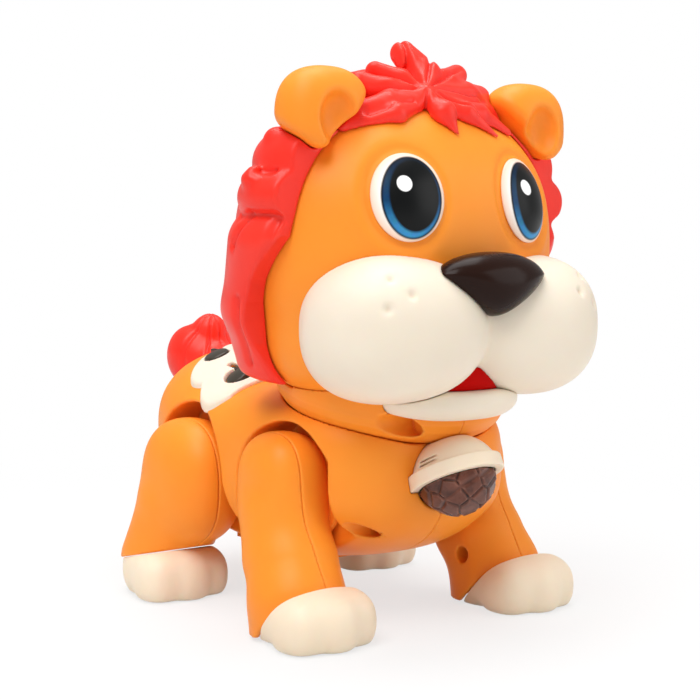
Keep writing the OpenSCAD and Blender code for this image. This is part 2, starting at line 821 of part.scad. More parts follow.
module forelock() {
    root = [0, 12, 186];
    tips = [[-3, 8, 213], [9, 7, 211], [-17, 2, 208], [22, 2, 208], [-28, 4, 202],
        [37, 2, 197], [-12, 20, 205], [14, 22, 206]];
    f = function(p) blend(concat([oval(p, [0, 13, 180], [44, 34, 25])],
        [for (t = tips) limb(p, root, t, 9, 3.5)]), 2.5);
    g = function(p) face_f(p) - 0.45;
    stop = function(p) min(min(crown(p), p[2] - fringe(p[0])), ear_f(p) - 0.9);
    color(red) cup(f, g, stop, [0, 12, 160], up_z, 11, 3, 44, 90, 110);
}

module mane_shell() {
    g = function(p) min(max(mane_f(p) + wall, 3 - behind(p)), max(face_f(p) - 0.55, behind(p) - 8));
    stop = function(p) min(behind(p), -0.4 - crown(p), over_neck(p) - 13, ear_f(p) - 0.9,
        max(face_f(p) - mane_f(p) - 1.6, behind(p) - 9));
    color(red) cup(function(p) mane_f(p), g, stop, head_o, rear_ax, 13, 7, 40, lean = 1.5);
}

// collar and neck spindle
head_screw = [neck[1] - neck_r, 76.6];

module collar(s) {
    color(orange) difference() {
        union() {
            on_neck() rotate([0, 0, s > 0 ? -90 : 90]) rotate_extrude(angle = 180, $fn = 64)
                polygon([[11.05, gap], [neck_r - 0.6, gap], [neck_r + 3, 3.4], [neck_r + 5.4, 6.4],
                         [neck_r + 6.7, 9.4], [neck_r + 7, 11.8], [30, 11.8], [30, 9.6], [neck_r + 4, 9.2],
                         [neck_r + 1.4, 5.4], [neck_r - 1.8, gap + wall], [11.05, gap + wall]]);
            along_x(s > 0 ? 0 : -13, s > 0 ? 13 : 0, 4.2, head_screw[0], head_screw[1]);
        }
        along_x(s > 0 ? -1 : -30, s > 0 ? 11 : 1, 1.42, head_screw[0], head_screw[1]);
        if (s < 0) along_x(-40, -8, 3.3, head_screw[0], head_screw[1]);
    }
}

module collar_right() {
    collar(-1);
}

module collar_left() {
    collar(1);
}

module neck_spindle() {
    color(cream) on_neck() difference() {
        union() {
            translate([0, 0, -6.4]) cylinder(r = 15, h = 3);
            translate([0, 0, -6.4]) cylinder(r = 11, h = 13);
            translate([0, 0, gap + wall]) cylinder(r = 16, h = 2.4);
        }
        translate([0, 0, -8]) cylinder(r = 8, h = 20);
    }
}

module head_screws() {
    color(grey) translate([-9.8, head_screw[0], head_screw[1]]) rotate([0, 90, 0]) screw(20);
}

// the length is centred on the frame
module put() {
    translate([0, -mid, 0]) children();
}

put() torso_right_shell();
put() torso_left_shell();
put() torso_screws();
put() key_plate();
put() tail();
put() projector_cap();
put() projector_dome();
put() light_board();
put() battery_box();
put() battery_cells();
put() battery_contacts();
put() battery_door();
put() circuit_board();
put() speaker();
put() motor();
put() gear_frame();
put() key_front_right();
put() key_front_left();
put() key_rear_right();
put() key_rear_left();
put() power_switch();
put() motor_pinion();
put() idler_gear();
put() crank_shaft();
put() link_rod_right();
put() link_rod_left();
put() face_shell();
put() mane_shell();
put() forelock();
put() ear_right();
put() ear_left();
put() eye_right();
put() eye_left();
put() muzzle();
put() lower_jaw();
put() mouth_insert();
put() nose();
put() collar_right();
put() collar_left();
put() neck_spindle();
put() head_screws();
put() front_right_leg_outer();
put() front_right_leg_inner();
put() front_right_paw();
put() front_right_leg_screws();
put() front_left_leg_outer();
put() front_left_leg_inner();
put() front_left_paw();
put() front_left_leg_screws();
put() rear_right_leg_outer();
put() rear_right_leg_inner();
put() rear_right_paw();
put() rear_right_leg_screws();
put() rear_left_leg_outer();
put() rear_left_leg_inner();
put() rear_left_paw();
put() rear_left_leg_screws();
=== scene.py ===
import bpy
import json
import math
import numpy as np
from mathutils import Matrix


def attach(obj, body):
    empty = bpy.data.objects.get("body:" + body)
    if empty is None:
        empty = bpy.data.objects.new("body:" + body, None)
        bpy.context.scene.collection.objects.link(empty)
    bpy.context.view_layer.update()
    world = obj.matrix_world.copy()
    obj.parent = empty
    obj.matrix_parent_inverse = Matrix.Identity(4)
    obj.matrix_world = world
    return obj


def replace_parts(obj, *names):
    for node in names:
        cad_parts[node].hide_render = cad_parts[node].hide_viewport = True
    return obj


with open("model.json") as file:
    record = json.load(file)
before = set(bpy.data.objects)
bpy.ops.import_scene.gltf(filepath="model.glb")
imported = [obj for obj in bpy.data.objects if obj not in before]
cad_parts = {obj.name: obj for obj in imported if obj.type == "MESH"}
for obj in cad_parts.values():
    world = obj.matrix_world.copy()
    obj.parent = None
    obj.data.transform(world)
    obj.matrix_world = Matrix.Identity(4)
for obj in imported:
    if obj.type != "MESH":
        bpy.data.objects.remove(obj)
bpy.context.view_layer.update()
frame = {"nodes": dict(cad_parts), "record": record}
nodes = frame["nodes"]
print("frame loaded:", len(nodes), "nodes")

midY = 59.3                                   # the drawing starts between the front paws, the frame at mid length
coarse = 1.0           # wider mesh while trying things


# forms as distances in mm, blended like moulded fillets
def vec(*v):
    return np.array(v, np.float32)


def softMin(parts, k):
    d = np.array(parts)
    low = d.min(0)
    return low - k * np.log(np.exp((low - d) / k).sum(0))


def roundMax(a, b, k):
    s = np.maximum(k - np.abs(a - b), 0)
    return np.maximum(a, b) + s * s / (4 * k)


def roundMin(a, b, k):
    return -roundMax(-a, -b, k)


def oval(p, c, r, n=2):
    r = vec(*r)
    a = np.abs(p - vec(*c)) / r
    b = a if n == 2 else a ** (n - 1)
    s = np.maximum((b * a).sum(-1), 1e-6)
    k = s ** (1 / n)
    return (k - 1) * (s / k) / np.maximum(np.linalg.norm(b / r, axis=-1), 1e-6)


def limb(p, a, b, ra, rb):
    a, b = vec(*a), vec(*b)
    v = b - a
    t = np.clip((p - a) @ v / (v @ v), 0, 1)
    return np.linalg.norm(p - a - t[:, None] * v, axis=-1) - ra - (rb - ra) * t


def strand(p, pts):
    return np.min([limb(p, a, b, 0, 0) for a, b in zip(pts[:-1], pts[1:])], axis=0)


def bar(p, y, z, r, x0=-999, x1=999):
    d = np.hypot(p[:, 1] - y, p[:, 2] - z) - r
    return np.maximum(d, np.maximum(x0 - p[:, 0], p[:, 0] - x1))


def slab(p, lo, hi):
    return np.max([np.maximum(lo[i] - p[:, i], p[:, i] - hi[i]) for i in range(3)], axis=0)


def mirrored(p):
    q = p.copy()
    q[:, 0] = np.abs(q[:, 0])
    return q


def cast(form, o, d, level, far, steps=22):
    lo = np.zeros(len(o), np.float32)
    hi = np.full(len(o), far, np.float32)
    for i in range(steps):
        m = (lo + hi) / 2
        inside = form(o + d * m[:, None]) < level
        lo, hi = np.where(inside, m, lo), np.where(inside, hi, m)
    return o + d * hi[:, None]


# mesh of a form: one point in each cell that its surface crosses, pulled on to the surface
def netMesh(form, lo, hi, h):
    h *= coarse
    block = 4
    lo = vec(*lo) - 2 * h
    n = np.ceil((vec(*hi) + 2 * h - lo) / (block * h)).astype(int)
    grid = np.stack(np.meshgrid(*[np.arange(k + 1) for k in n], indexing="ij"), -1).reshape(-1, 3)
    far = form((lo + grid * (block * h)).astype(np.float32)).reshape(n + 1)
    near = np.full(n, 1e9, np.float32)
    corners = [(i, j, k) for i in (0, 1) for j in (0, 1) for k in (0, 1)]
    for i, j, k in corners:
        near = np.minimum(near, np.abs(far[i:i + n[0], j:j + n[1], k:k + n[2]]))
    grow = lambda a: a.repeat(block, 0).repeat(block, 1).repeat(block, 2)
    live = grow(near < 7 * h)
    size = n * block
    field = np.full(size + 1, 9, np.float32)
    field[:-1, :-1, :-1] = np.where(grow(far[:-1, :-1, :-1] < 0), -9, 9)
    wanted = np.zeros(size + 1, bool)
    for i, j, k in corners:
        wanted[i:i + size[0], j:j + size[1], k:k + size[2]] |= live
    where = np.argwhere(wanted)
    values = np.empty(len(where), np.float32)
    for i in range(0, len(where), 300000):
        values[i:i + 300000] = form((lo + where[i:i + 300000] * h).astype(np.float32))
    field[wanted] = values
    inside = field < 0
    full = np.zeros(size, np.int8)
    for i, j, k in corners:
        full += inside[i:i + size[0], j:j + size[1], k:k + size[2]]
    cells = np.argwhere((full > 0) & (full < 8))
    index = np.full(size, -1, np.int32)
    index[tuple(cells.T)] = np.arange(len(cells))
    total = np.zeros((len(cells), 3), np.float32)
    count = np.zeros((len(cells), 1), np.float32)
    for axis in range(3):
        step = np.eye(3, dtype=int)[axis]
        for i, j, k in corners:
            at = np.array((i, j, k))
            if at[axis]:
                continue
            a = field[tuple((cells + at).T)]
            b = field[tuple((cells + at + step).T)]
            cut = (a < 0) != (b < 0)
            t = np.where(cut, a / np.where(cut, a - b, 1), 0)
            total += cut[:, None] * (at + step * t[:, None])
            count += cut[:, None]
    pts = lo + (cells + total / count) * h
    quads = []
    for axis in range(3):
        u, v = np.eye(3, dtype=int)[(axis + 1) % 3], np.eye(3, dtype=int)[(axis + 2) % 3]
        front = inside.take(range(size[axis]), axis)
        back = inside.take(range(1, size[axis] + 1), axis)
        edges = np.argwhere(front != back)
        edges = edges[(edges @ u > 0) & (edges @ v > 0) & (edges @ u < size @ u) & (edges @ v < size @ v)]
        around = [index[tuple((edges - a).T)] for a in (u + v, v, 0 * u, u)]
        ring = np.stack(around, -1)
        flip = ~front[tuple(edges.T)]
        ring[flip] = ring[flip][:, ::-1]
        quads.append(ring)
    quads = np.concatenate(quads)
    pts = pts.astype(np.float32)
    for turn in range(2):
        slope = np.empty_like(pts)
        e = 0.25 * h
        for axis in range(3):
            d = np.zeros(3, np.float32)
            d[axis] = e
            slope[:, axis] = (form(pts + d) - form(pts - d)) / (2 * e)
        size2 = np.maximum((slope * slope).sum(-1), 0.05)
        move = np.clip(form(pts) / size2, -0.5 * h, 0.5 * h)
        pts = pts - slope * move[:, None]
    return pts, quads


def creases(pts, quads, turns=2):
    n = len(pts)
    a = quads.reshape(-1)
    b = np.roll(quads, -1, 1).reshape(-1)
    both = (np.concatenate([a, b]), np.concatenate([b, a]))
    links = np.maximum(np.bincount(both[0], minlength=n), 1)
    mean = lambda w: np.bincount(both[0], w[both[1]], n) / links
    near = np.stack([mean(pts[:, i].astype(float)) for i in range(3)], -1)
    e1 = pts[quads[:, 2]] - pts[quads[:, 0]]
    e2 = pts[quads[:, 3]] - pts[quads[:, 1]]
    face = np.cross(e1, e2).repeat(4, 0)
    normal = np.stack([np.bincount(a, face[:, i], n) for i in range(3)], -1)
    normal /= np.maximum(np.linalg.norm(normal, axis=1, keepdims=True), 1e-9)
    step = np.sqrt(np.linalg.norm(np.cross(e1, e2), axis=1).mean() / 2)
    bend = ((near - pts) * normal).sum(1) / step
    for turn in range(turns):
        bend = mean(bend)
    return np.clip(bend * 4, -1, 1)


def meshObject(name, pts, faces):
    me = bpy.data.meshes.new(name)
    k = faces.shape[1]
    me.vertices.add(len(pts))
    me.vertices.foreach_set("co", ((pts - vec(0, midY, 0)) * 0.001).astype(np.float32).reshape(-1))
    me.loops.add(faces.size)
    me.polygons.add(len(faces))
    me.polygons.foreach_set("loop_start", np.arange(len(faces), dtype=np.int32) * k)
    me.loops.foreach_set("vertex_index", faces.astype(np.int32).reshape(-1))
    me.update(calc_edges=True)
    me.validate()
    me.polygons.foreach_set("use_smooth", np.full(len(me.polygons), True))
    ob = bpy.data.objects.new(name, me)
    bpy.context.scene.collection.objects.link(ob)
    return ob


def mould(name, form, lo, hi, h, body, node, finish, mirror=False):
    # one moulded piece from its form, standing for its CAD node
    key = (form, tuple(lo), tuple(hi), h)
    if key not in made:
        made[key] = netMesh(form, lo, hi, h)
    pts, quads = made[key]
    if mirror:
        pts, quads = pts * vec(-1, 1, 1), quads[:, ::-1]
    ob = meshObject(name, pts, quads)
    bend = ob.data.attributes.new("crease", "FLOAT", "POINT")
    bend.data.foreach_set("value", creases(pts, quads).astype(np.float32))
    ob.data.materials.append(finish)
    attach(ob, body)
    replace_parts(ob, node)
    print(name, len(pts), "points")


made = {}


# finishes
def srgb(r, g, b):
    return tuple((v / 255 / 12.92 if v < 11 else ((v / 255 + 0.055) / 1.055) ** 2.4) for v in (r, g, b)) + (1,)


def nodeTree(name):
    mat = bpy.data.materials.new(name)
    mat.use_nodes = True
    tree = mat.node_tree
    shader = tree.nodes["Principled BSDF"]
    add = lambda kind, **kw: setUp(tree.nodes.new(kind), kw)
    return mat, tree, shader, add


def setUp(node, values):
    for key, value in values.items():
        if key in node.inputs:
            node.inputs[key].default_value = value
        else:
            setattr(node, key, value)
    return node


def ramp(tree, add, source, stops):
    node = add("ShaderNodeValToRGB")
    els = node.color_ramp.elements
    while len(els) < len(stops):
        els.new(0.5)
    for el, (at, colour) in zip(els, stops):
        el.position, el.color = at, colour
    tree.links.new(source, node.inputs["Fac"])
    return node


def plastic(name, look):
    # moulded plastic: cloudy colour, painted shade darkening the creases, convex edges lighter for wear and a
    # painted sheen, fine spark texture
    mat, tree, shader, add = nodeTree(name)
    link = tree.links.new
    place = add("ShaderNodeTexCoord").outputs["Object"]
    cloud = add("ShaderNodeTexNoise", Scale=look.get("cloudScale", 26), Detail=4.0, Roughness=0.55)
    link(place, cloud.inputs["Vector"])
    base = ramp(tree, add, cloud.outputs["Fac"], [(0.3, look["shade"]), (0.7, look["colour"])])
    # painted shade: the crease attribute mixes the deep colour into hollows, where shade falls
    bend = add("ShaderNodeAttribute", attribute_name="crease")
    low = add("ShaderNodeMapRange", **{"From Min": 0.08, "From Max": 0.75, "To Max": look.get("creaseShadeAmount", 0.5)})
    link(bend.outputs["Fac"], low.inputs["Value"])
    shadedCreases = add("ShaderNodeMix", data_type="RGBA")
    link(low.outputs["Result"], shadedCreases.inputs["Factor"])
    link(base.outputs["Color"], shadedCreases.inputs["A"])
    shadedCreases.inputs["B"].default_value = look["deep"]
    # wear and a painted sheen: convex edges are mixed towards the lighter edge colour
    high = add("ShaderNodeMapRange", **{"From Min": -0.2, "From Max": -0.9, "To Max": look.get("edgeWearAndSheen", 0.25)})
    link(bend.outputs["Fac"], high.inputs["Value"])
    wornAndSheenEdges = add("ShaderNodeMix", data_type="RGBA")
    link(high.outputs["Result"], wornAndSheenEdges.inputs["Factor"])
    link(shadedCreases.outputs["Result"], wornAndSheenEdges.inputs["A"])
    wornAndSheenEdges.inputs["B"].default_value = look["edge"]
    link(wornAndSheenEdges.outputs["Result"], shader.inputs["Base Color"])
    smear = add("ShaderNodeTexNoise", Scale=70.0, Detail=3.0)
    link(place, smear.inputs["Vector"])
    gloss = add("ShaderNodeMapRange", **{"From Min": 0.3, "From Max": 0.7, "To Min": look["rough"] - 0.05,
                                         "To Max": look["rough"] + 0.06})
    link(smear.outputs["Fac"], gloss.inputs["Value"])
    link(gloss.outputs["Result"], shader.inputs["Roughness"])
    spark = add("ShaderNodeTexNoise", Scale=1500.0, Detail=2.0)
    link(place, spark.inputs["Vector"])
    bump = add("ShaderNodeBump", Strength=look.get("spark", 0.05), Distance=0.0002)
    link(spark.outputs["Fac"], bump.inputs["Height"])
    link(bump.outputs["Normal"], shader.inputs["Normal"])
    shader.inputs["Specular IOR Level"].default_value = look.get("specular", 0.45)
    shader.inputs["Coat Weight"].default_value = look.get("coat", 0.0)
    shader.inputs["Coat Roughness"].default_value = 0.12
    shader.inputs["Subsurface Weight"].default_value = look.get("depth", 0.0)
    shader.inputs["Subsurface Radius"].default_value = (1.0, 0.35, 0.15)
    shader.inputs["Subsurface Scale"].default_value = 0.004
    return mat


orangePlastic = plastic("orange plastic", {
    "colour": srgb(255, 152, 44), "shade": srgb(254, 145, 38),
    "deep": srgb(222, 84, 10), "edge": srgb(255, 174, 82),
    "rough": 0.46, "depth": 0.12, "specular": 0.28})
redPlastic = plastic("red plastic", {
    "colour": srgb(249, 58, 42), "shade": srgb(244, 46, 32),
    "deep": srgb(196, 12, 6), "edge": srgb(255, 110, 92),
    "rough": 0.36, "depth": 0.1, "specular": 0.3})
creamPlastic = plastic("cream plastic", {
    "colour": srgb(241, 228, 209), "shade": srgb(237, 223, 203),
    "deep": srgb(216, 172, 128), "edge": srgb(252, 242, 228),
    "rough": 0.44, "depth": 0.15, "specular": 0.3})
pawPlastic = plastic("paw plastic", {
    "colour": srgb(247, 231, 206), "shade": srgb(243, 224, 197),
    "deep": srgb(220, 156, 110), "edge": srgb(252, 238, 220),
    "rough": 0.46, "depth": 0.15, "specular": 0.3})
noseGloss = plastic("nose gloss", {
    "colour": srgb(40, 22, 16), "shade": srgb(34, 18, 13),
    "deep": srgb(16, 8, 6), "edge": srgb(66, 40, 30),
    "rough": 0.24, "specular": 0.12, "spark": 0.02})
mouthRed = plastic("mouth red", {
    "colour": srgb(196, 8, 3), "shade": srgb(182, 5, 2),
    "deep": srgb(120, 2, 1), "edge": srgb(210, 40, 28),
    "rough": 0.55, "specular": 0.04})
noteBlack = plastic("note black", {
    "colour": srgb(58, 52, 38), "shade": srgb(46, 41, 30),
    "deep": srgb(20, 18, 13), "edge": srgb(96, 90, 76),
    "rough": 0.35})
print("finishes made")


# torso
torso = {"halfWidth": 49, "wall": 2.2, "halfY": 57, "hipY": 89, "shoulderY": 25, "axleZ": 50,
         "floorX": 29.5, "bellyZ": 22, "pitch": 0.7, "rim": 1.6,
         "doorHole": ((-25, 28, 0), (25, 88, 45)), "switchSlot": ((-5.6, 96, 0), (5.6, 101, 32))}
speaker = {"z": 62, "holes": 6, "ring": 9, "r": 1.6, "fromY": 130}
neck = {"at": (0, 20, 77), "lean": math.radians(12.5), "r": 37}
ball = {"at": (0, -21.5, 56.5), "lean": math.radians(27), "r": 15.6}
screwsAt = [(-1.7, 38.4), (124, 84), (113, 33)]
keysAt = [(-30, 77.5, -36), (30, 77.5, 36), (-25, 102, -25), (25, 102, 25)]
keySize = {"r": 5.2, "stem": 1.9, "stemLong": 10, "clear": 0.4}


def torsoForm(p):
    w, my, hy = torso["halfWidth"], torso["halfY"], torso["hipY"]
    return softMin([oval(p, (0, my + 2, 59), (w, 74, 29), 3.3),
                    oval(p, (0, my + 2, 51), (w - 3, 70, 30.5), 2.6),
                    oval(p, (0, hy + 14, 67), (w - 5, 44, 32), 2.3)], 2.5)


def pocket(p, y, z, r, front, grow, x0):
    dy, dz = p[:, 1] - y, p[:, 2] - z
    flare = 11 / (z - 4)
    below = (np.abs(dy) - (r + grow) + flare * dz) * math.cos(math.atan(flare))
    d = np.where(dz > 0, np.hypot(dy, dz) - r - grow, below)
    return np.max([d, front - grow - p[:, 1], x0 - np.abs(p[:, 0])], axis=0)


def pockets(p, grow, x0):
    t = torso
    return np.minimum(pocket(p, t["shoulderY"] - 1, t["axleZ"] + 1.5, 25, t["shoulderY"] - 23, grow, x0),
                      pocket(p, t["hipY"], t["axleZ"], 28.5, t["hipY"] - 50, grow, x0))


def overNeck(p):
    q = p - vec(*neck["at"])
    return q[:, 2] * math.cos(neck["lean"]) - q[:, 1] * math.sin(neck["lean"])


def neckCut(p):
    q = p - vec(*neck["at"])
    h = overNeck(p)
    v = q[:, 1] * math.cos(neck["lean"]) + q[:, 2] * math.sin(neck["lean"])
    wide = np.interp(h, [0, 2.6, 5.6, 8.8, 12], [neck["r"] + k for k in (0.1, 3.4, 5.8, 7.1, 7.4)])
    return np.maximum(-h, (np.hypot(q[:, 0], v) - wide) * 0.72)


def onBall(p):
    q = p - vec(*ball["at"])
    s, c = math.sin(ball["lean"]), math.cos(ball["lean"])
    return np.stack([q[:, 0], q[:, 1] * c - q[:, 2] * s, q[:, 1] * s + q[:, 2] * c], -1)


def backZ(x, y):
    return cast(torsoForm, vec(x, y, 60)[None], vec(0, 0, 1)[None], 0, 60)[0, 2]


keyTops = [backZ(k[0], k[1]) for k in keysAt]


def onKey(p, i):
    x, y, tilt = keysAt[i]
    s, c = math.sin(math.radians(tilt)), math.cos(math.radians(tilt))
    q = p - vec(x, y, keyTops[i])
    return np.stack([q[:, 0] * c - q[:, 2] * s, q[:, 1], q[:, 0] * s + q[:, 2] * c], -1)


def noteEdge(q, clear):
    r, s, n = keySize["r"], keySize["stem"], keySize["stemLong"]
    head = np.hypot(q[:, 0], q[:, 1]) - r - clear
    stem = np.max([r - s - clear - q[:, 0], q[:, 0] - r - clear, -clear - q[:, 1], q[:, 1] - n - clear], axis=0)
    return np.minimum(head, stem)


def keyHoles(p):
    return np.min([np.maximum(noteEdge(q, keySize["clear"]), np.abs(q[:, 2]) - 9)
                   for q in (onKey(p, i) for i in range(4))], axis=0)


def torsoShell(side):
    def form(p):
        t = torso
        outer = torsoForm(p)
        hollow = np.max([outer + t["wall"], -pockets(p, t["wall"], t["floorX"] - t["wall"]), overNeck(p) + 2.6,
                         t["bellyZ"] + t["wall"] - p[:, 2]], axis=0)
        d = np.maximum(outer, -hollow)
        if side < 0:
            for y, z in screwsAt:
                d = np.minimum(d, np.maximum(bar(p, y, z, 4.4), outer))
        d = roundMax(d, -pockets(p, 0, t["floorX"]), t["rim"])
        d = roundMax(d, -neckCut(p), 0.3)
        b = onBall(p)
        seat = np.minimum(np.maximum(np.linalg.norm(b, axis=1) - ball["r"] - 1.05, -0.65 - b[:, 2]),
                          np.maximum(np.hypot(b[:, 0], b[:, 1]) - ball["r"] - 2.25, np.abs(b[:, 2] - 2.1) - 2.75))
        seat = np.minimum(seat, np.linalg.norm(b - vec(0, 0, 1.6), axis=1) - ball["r"] + 0.4)
        d = roundMax(d, -seat, 0.5)
        d = roundMax(d, -keyHoles(p), 0.4)
        d = roundMax(d, -slab(p, *t["doorHole"]), 0.4)
        d = roundMax(d, t["bellyZ"] - p[:, 2], 0.6)
        for y in (t["shoulderY"], t["hipY"]):
            d = np.maximum(d, -bar(p, y, t["axleZ"], 4.3))
            arc = np.hypot(p[:, 1] - y, p[:, 2] - t["axleZ"])
            lean = np.abs(np.degrees(np.arctan2(p[:, 1] - y, p[:, 2] - t["axleZ"])))
            d = np.maximum(d, -np.max([np.abs(arc - 14) - 3.7, (lean - 28) * 0.25,
                                       t["floorX"] - 4 - np.abs(p[:, 0])], axis=0))
        for y, z in screwsAt:
            if side < 0:
                d = roundMax(d, -bar(p * vec(-1, 1, 1), y, z, 3.2, 12), 0.5)
        for a in range(speaker["holes"]):
            u = math.radians(60 * a + 30)
            x, z = speaker["ring"] * math.cos(u), speaker["ring"] * math.sin(u)
            hole = np.hypot(p[:, 0] - x, p[:, 2] - speaker["z"] - z) - speaker["r"]
            d = roundMax(d, -np.maximum(hole, speaker["fromY"] - p[:, 1]), 0.4)
        d = np.maximum(d, -slab(p, *t["switchSlot"]))
        return roundMax(d, 0.06 - side * p[:, 0], 0.5)
    return form


for side, name in ((-1, "right"), (1, "left")):
    xs = (-52, 0) if side < 0 else (0, 52)
    mould("torso" + name.title(), torsoShell(side), (xs[0], -20, 18), (xs[1], 154, 106), torso["pitch"],
          "torso", "torso_%s_shell" % name, orangePlastic)

plate = {"at": (0, 90), "reach": 38, "sway": 11, "front": 24, "low": -0.8, "high": 1.5, "pitch": 0.6}


def plateForm(p):
    x, y = np.abs(p[:, 0] - plate["at"][0]), p[:, 1] - plate["at"][1]
    b = np.degrees(np.arctan2(y, x))
    lobes = plate["reach"] + plate["sway"] * np.cos(np.radians(2 * b + 44))
    lobes = lobes * (0.87 + 0.13 * np.abs(np.cos(np.radians(4 * b + 90))))
    straight = np.where(b < -5, -plate["front"] / np.minimum(np.sin(np.radians(b)), -0.05), 99)
    edge = np.hypot(x, y) - np.minimum(lobes, straight)
    mid, half = (plate["high"] + plate["low"]) / 2, (plate["high"] - plate["low"]) / 2
    d = roundMax(np.abs(torsoForm(p) - mid) - half, edge * 0.85, 0.8)
    return roundMax(np.maximum(d, 70 - p[:, 2]), -keyHoles(p), 0.5)


mould("keyPlate", plateForm, (-46, 62, 72), (46, 140, 104), plate["pitch"], "torso", "key_plate",
      creamPlastic)

tail = {"pitch": 0.6, "grooves": 0.9}


def tailForm(p):
    y = torso["hipY"]
    d = softMin([limb(p, (0, y + 48, 86), (0, y + 69, 94), 10, 10),
                 limb(p, (0, y + 67, 90), (0, y + 60, 104), 11, 7),
                 oval(p, (-7, y + 67, 92), (9, 11, 13)), oval(p, (7, y + 67, 92), (9, 11, 13))], 2)
    turn = np.arctan2(p[:, 0], p[:, 1] - y - 58)
    d = d + tail["grooves"] * np.exp(-(np.sin(turn * 3.5 + 0.02 * p[:, 2]) / 0.28) ** 2)
    return roundMax(d, -torsoForm(p), 0.4)


mould("tail", tailForm, (-20, 128, 70), (20, 172, 116), tail["pitch"], "torso", "tail", redPlastic)

# note keys
for i, name in enumerate(("front_right", "front_left", "rear_right", "rear_left")):
    def keyForm(p, i=i):
        q = onKey(p, i)
        top = np.maximum(noteEdge(q, 0), -6 - q[:, 2])
        top = roundMax(top, q[:, 2] - 2.4 + 0.02 * (q[:, 0] ** 2 + np.minimum(q[:, 1], 5) ** 2), 0.9)
        flange = np.maximum(np.hypot(q[:, 0], q[:, 1]) - keySize["r"] - 1.7, np.abs(q[:, 2] + 6.6) - 0.8)
        stalk = np.maximum(np.hypot(q[:, 0], q[:, 1]) - 2, np.abs(q[:, 2] + 7.4) - 1.4)
        return np.min([top, flange, stalk], axis=0)
    x, y, z = keysAt[i][0], keysAt[i][1], keyTops[i]
    mould("key" + name.title().replace("_", ""), keyForm, (x - 13, y - 8, z - 16), (x + 13, y + 12, z + 10), 0.45,
          "key_" + name, "key_" + name, noteBlack)
print("torso done")

# legs and paws
leg = {"x": 47, "inX": 30.3, "wall": 2.2, "pitch": 0.6, "hemRound": 0.9, "parting": 0.45}
hems = {True: (10, 4, math.radians(43)), False: (95, 18, math.radians(13))}


def ankle(front):
    return vec(leg["x"] + 1, torso["shoulderY"] - 14, 13) if front else vec(leg["x"] + 1.5, torso["hipY"] + 17, 13)


def legForm(p, front):
    x, z = leg["x"], torso["axleZ"]
    a = ankle(front)
    if front:
        y = torso["shoulderY"]
        return softMin([oval(p, (x - 3.3, y + 1.5, z + 2), (14.6, 17, 20.6), 2.6),
                        limb(p, (x - 2.2, y - 0.5, z - 8), (x - 1.4, y - 5, 28), 16, 16.8),
                        limb(p, (x - 0.8, y - 9, 24), a, 16.4, 17.2),
                        limb(p, a, a - vec(0, 0, 13), 17.2, 17.2)], 1.5)
    y = torso["hipY"]
    return softMin([oval(p, (x - 2, y + 1, z - 3), (16.5, 24.5, 25), 2.4),
                    limb(p, (x - 1, y + 9, z - 16), a, 17, 18)], 2.5)


def overHem(p, front):
    y, z, a = hems[front]
    return (p[:, 1] - y) * math.sin(a) + (p[:, 2] - z) * math.cos(a)


def legHalf(front, outer):
    def form(p):
        y, z = torso["shoulderY"] if front else torso["hipY"], torso["axleZ"]
        skin = legForm(p, front)
        hollow = np.maximum(skin + leg["wall"], leg["inX"] + leg["wall"] - p[:, 0])
        d = roundMax(skin, 0.15 - overHem(p, front), leg["hemRound"])
        d = roundMax(d, leg["inX"] - p[:, 0], 1.2)
        d = np.maximum(np.maximum(d, 1.2 - p[:, 2]), -hollow)
        sy, sz = (y - 14, 20) if front else (y + 13, 27)
        if outer:
            d = np.minimum(d, np.maximum(bar(p, sy, sz, 4.4, leg["x"], 999), skin + 1))
            return roundMax(d, leg["x"] + 0.06 - p[:, 0], leg["parting"])
        d = np.minimum(d, np.maximum(bar(p, sy, sz, 5, leg["inX"]), skin + 1))
        d = np.minimum(d, bar(p, y, z, 18.4 if front else 21, leg["inX"], leg["inX"] + leg["wall"]))
        d = np.minimum(d, bar(p, y, z, 4, 22.5, 31.3))
        d = np.minimum(d, bar(p, y, z + 14, 3, 22.5, 31.3))
        d = roundMax(d, -bar(p, sy, sz, 3.2, -999, leg["x"] - 6), 0.6)
        return roundMax(d, p[:, 0] - leg["x"] + 0.06, leg["parting"])
    return form


paw = {"toeCrease": 1.0, "hemRound": 0.7, "pitch": 0.55}


def pawForm(front):
    def form(p):
        a = ankle(front)
        k = 0 if front else 3.5
        d = softMin([limb(p, a + vec(0, 1, 3), a + vec(0, 0, -6), 16, 16),
                     oval(p, a + vec(1, k - 10.5, -3.5), (18, 20, 12.4), 2.4),
                     oval(p, a + vec(-9.5, k - 18, -5), (9, 11, 11), 2.3),
                     oval(p, a + vec(1, k - 21, -5), (9, 11, 11.5), 2.3),
                     oval(p, a + vec(11.5, k - 18, -5), (9, 11, 11), 2.3)], paw["toeCrease"])
        d = roundMax(d, overHem(p, front) + 0.15, paw["hemRound"])
        return roundMax(d, -p[:, 2], 1.4)
    return form


def part(form, name, front, node, finish, pitch):
    y = torso["shoulderY"] if front else torso["hipY"]
    lo, hi = ((20, y - 54, 0), (74, y + 26, 78)) if front else ((20, y - 28, 0), (74, y + 42, 78))
    end = "front" if front else "rear"
    for side in ("left", "right"):
        mould(end.title() + side.title() + name, form, lo, hi, pitch, "%s_%s_leg" % (end, side),
              "%s_%s_%s" % (end, side, node), finish, side == "right")


for front in (True, False):
    part(legHalf(front, True), "LegOuter", front, "leg_outer", orangePlastic, leg["pitch"])
    part(legHalf(front, False), "LegInner", front, "leg_inner", orangePlastic, leg["pitch"])
    part(pawForm(front), "Paw", front, "paw", pawPlastic, paw["pitch"])
print("legs done")

# head
head = {"w": 62, "wall": 2.2, "pitch": 0.7}
eye = {"x": 25, "at": (-19.5, 157.5), "turn": math.radians(17), "wide": 13.8, "tall": 15.4, "rise": 2.6,
       "rim": 0.6, "back": 0.2, "brow": 0.55, "dent": 0.5, "rings": 40, "spokes": 120}


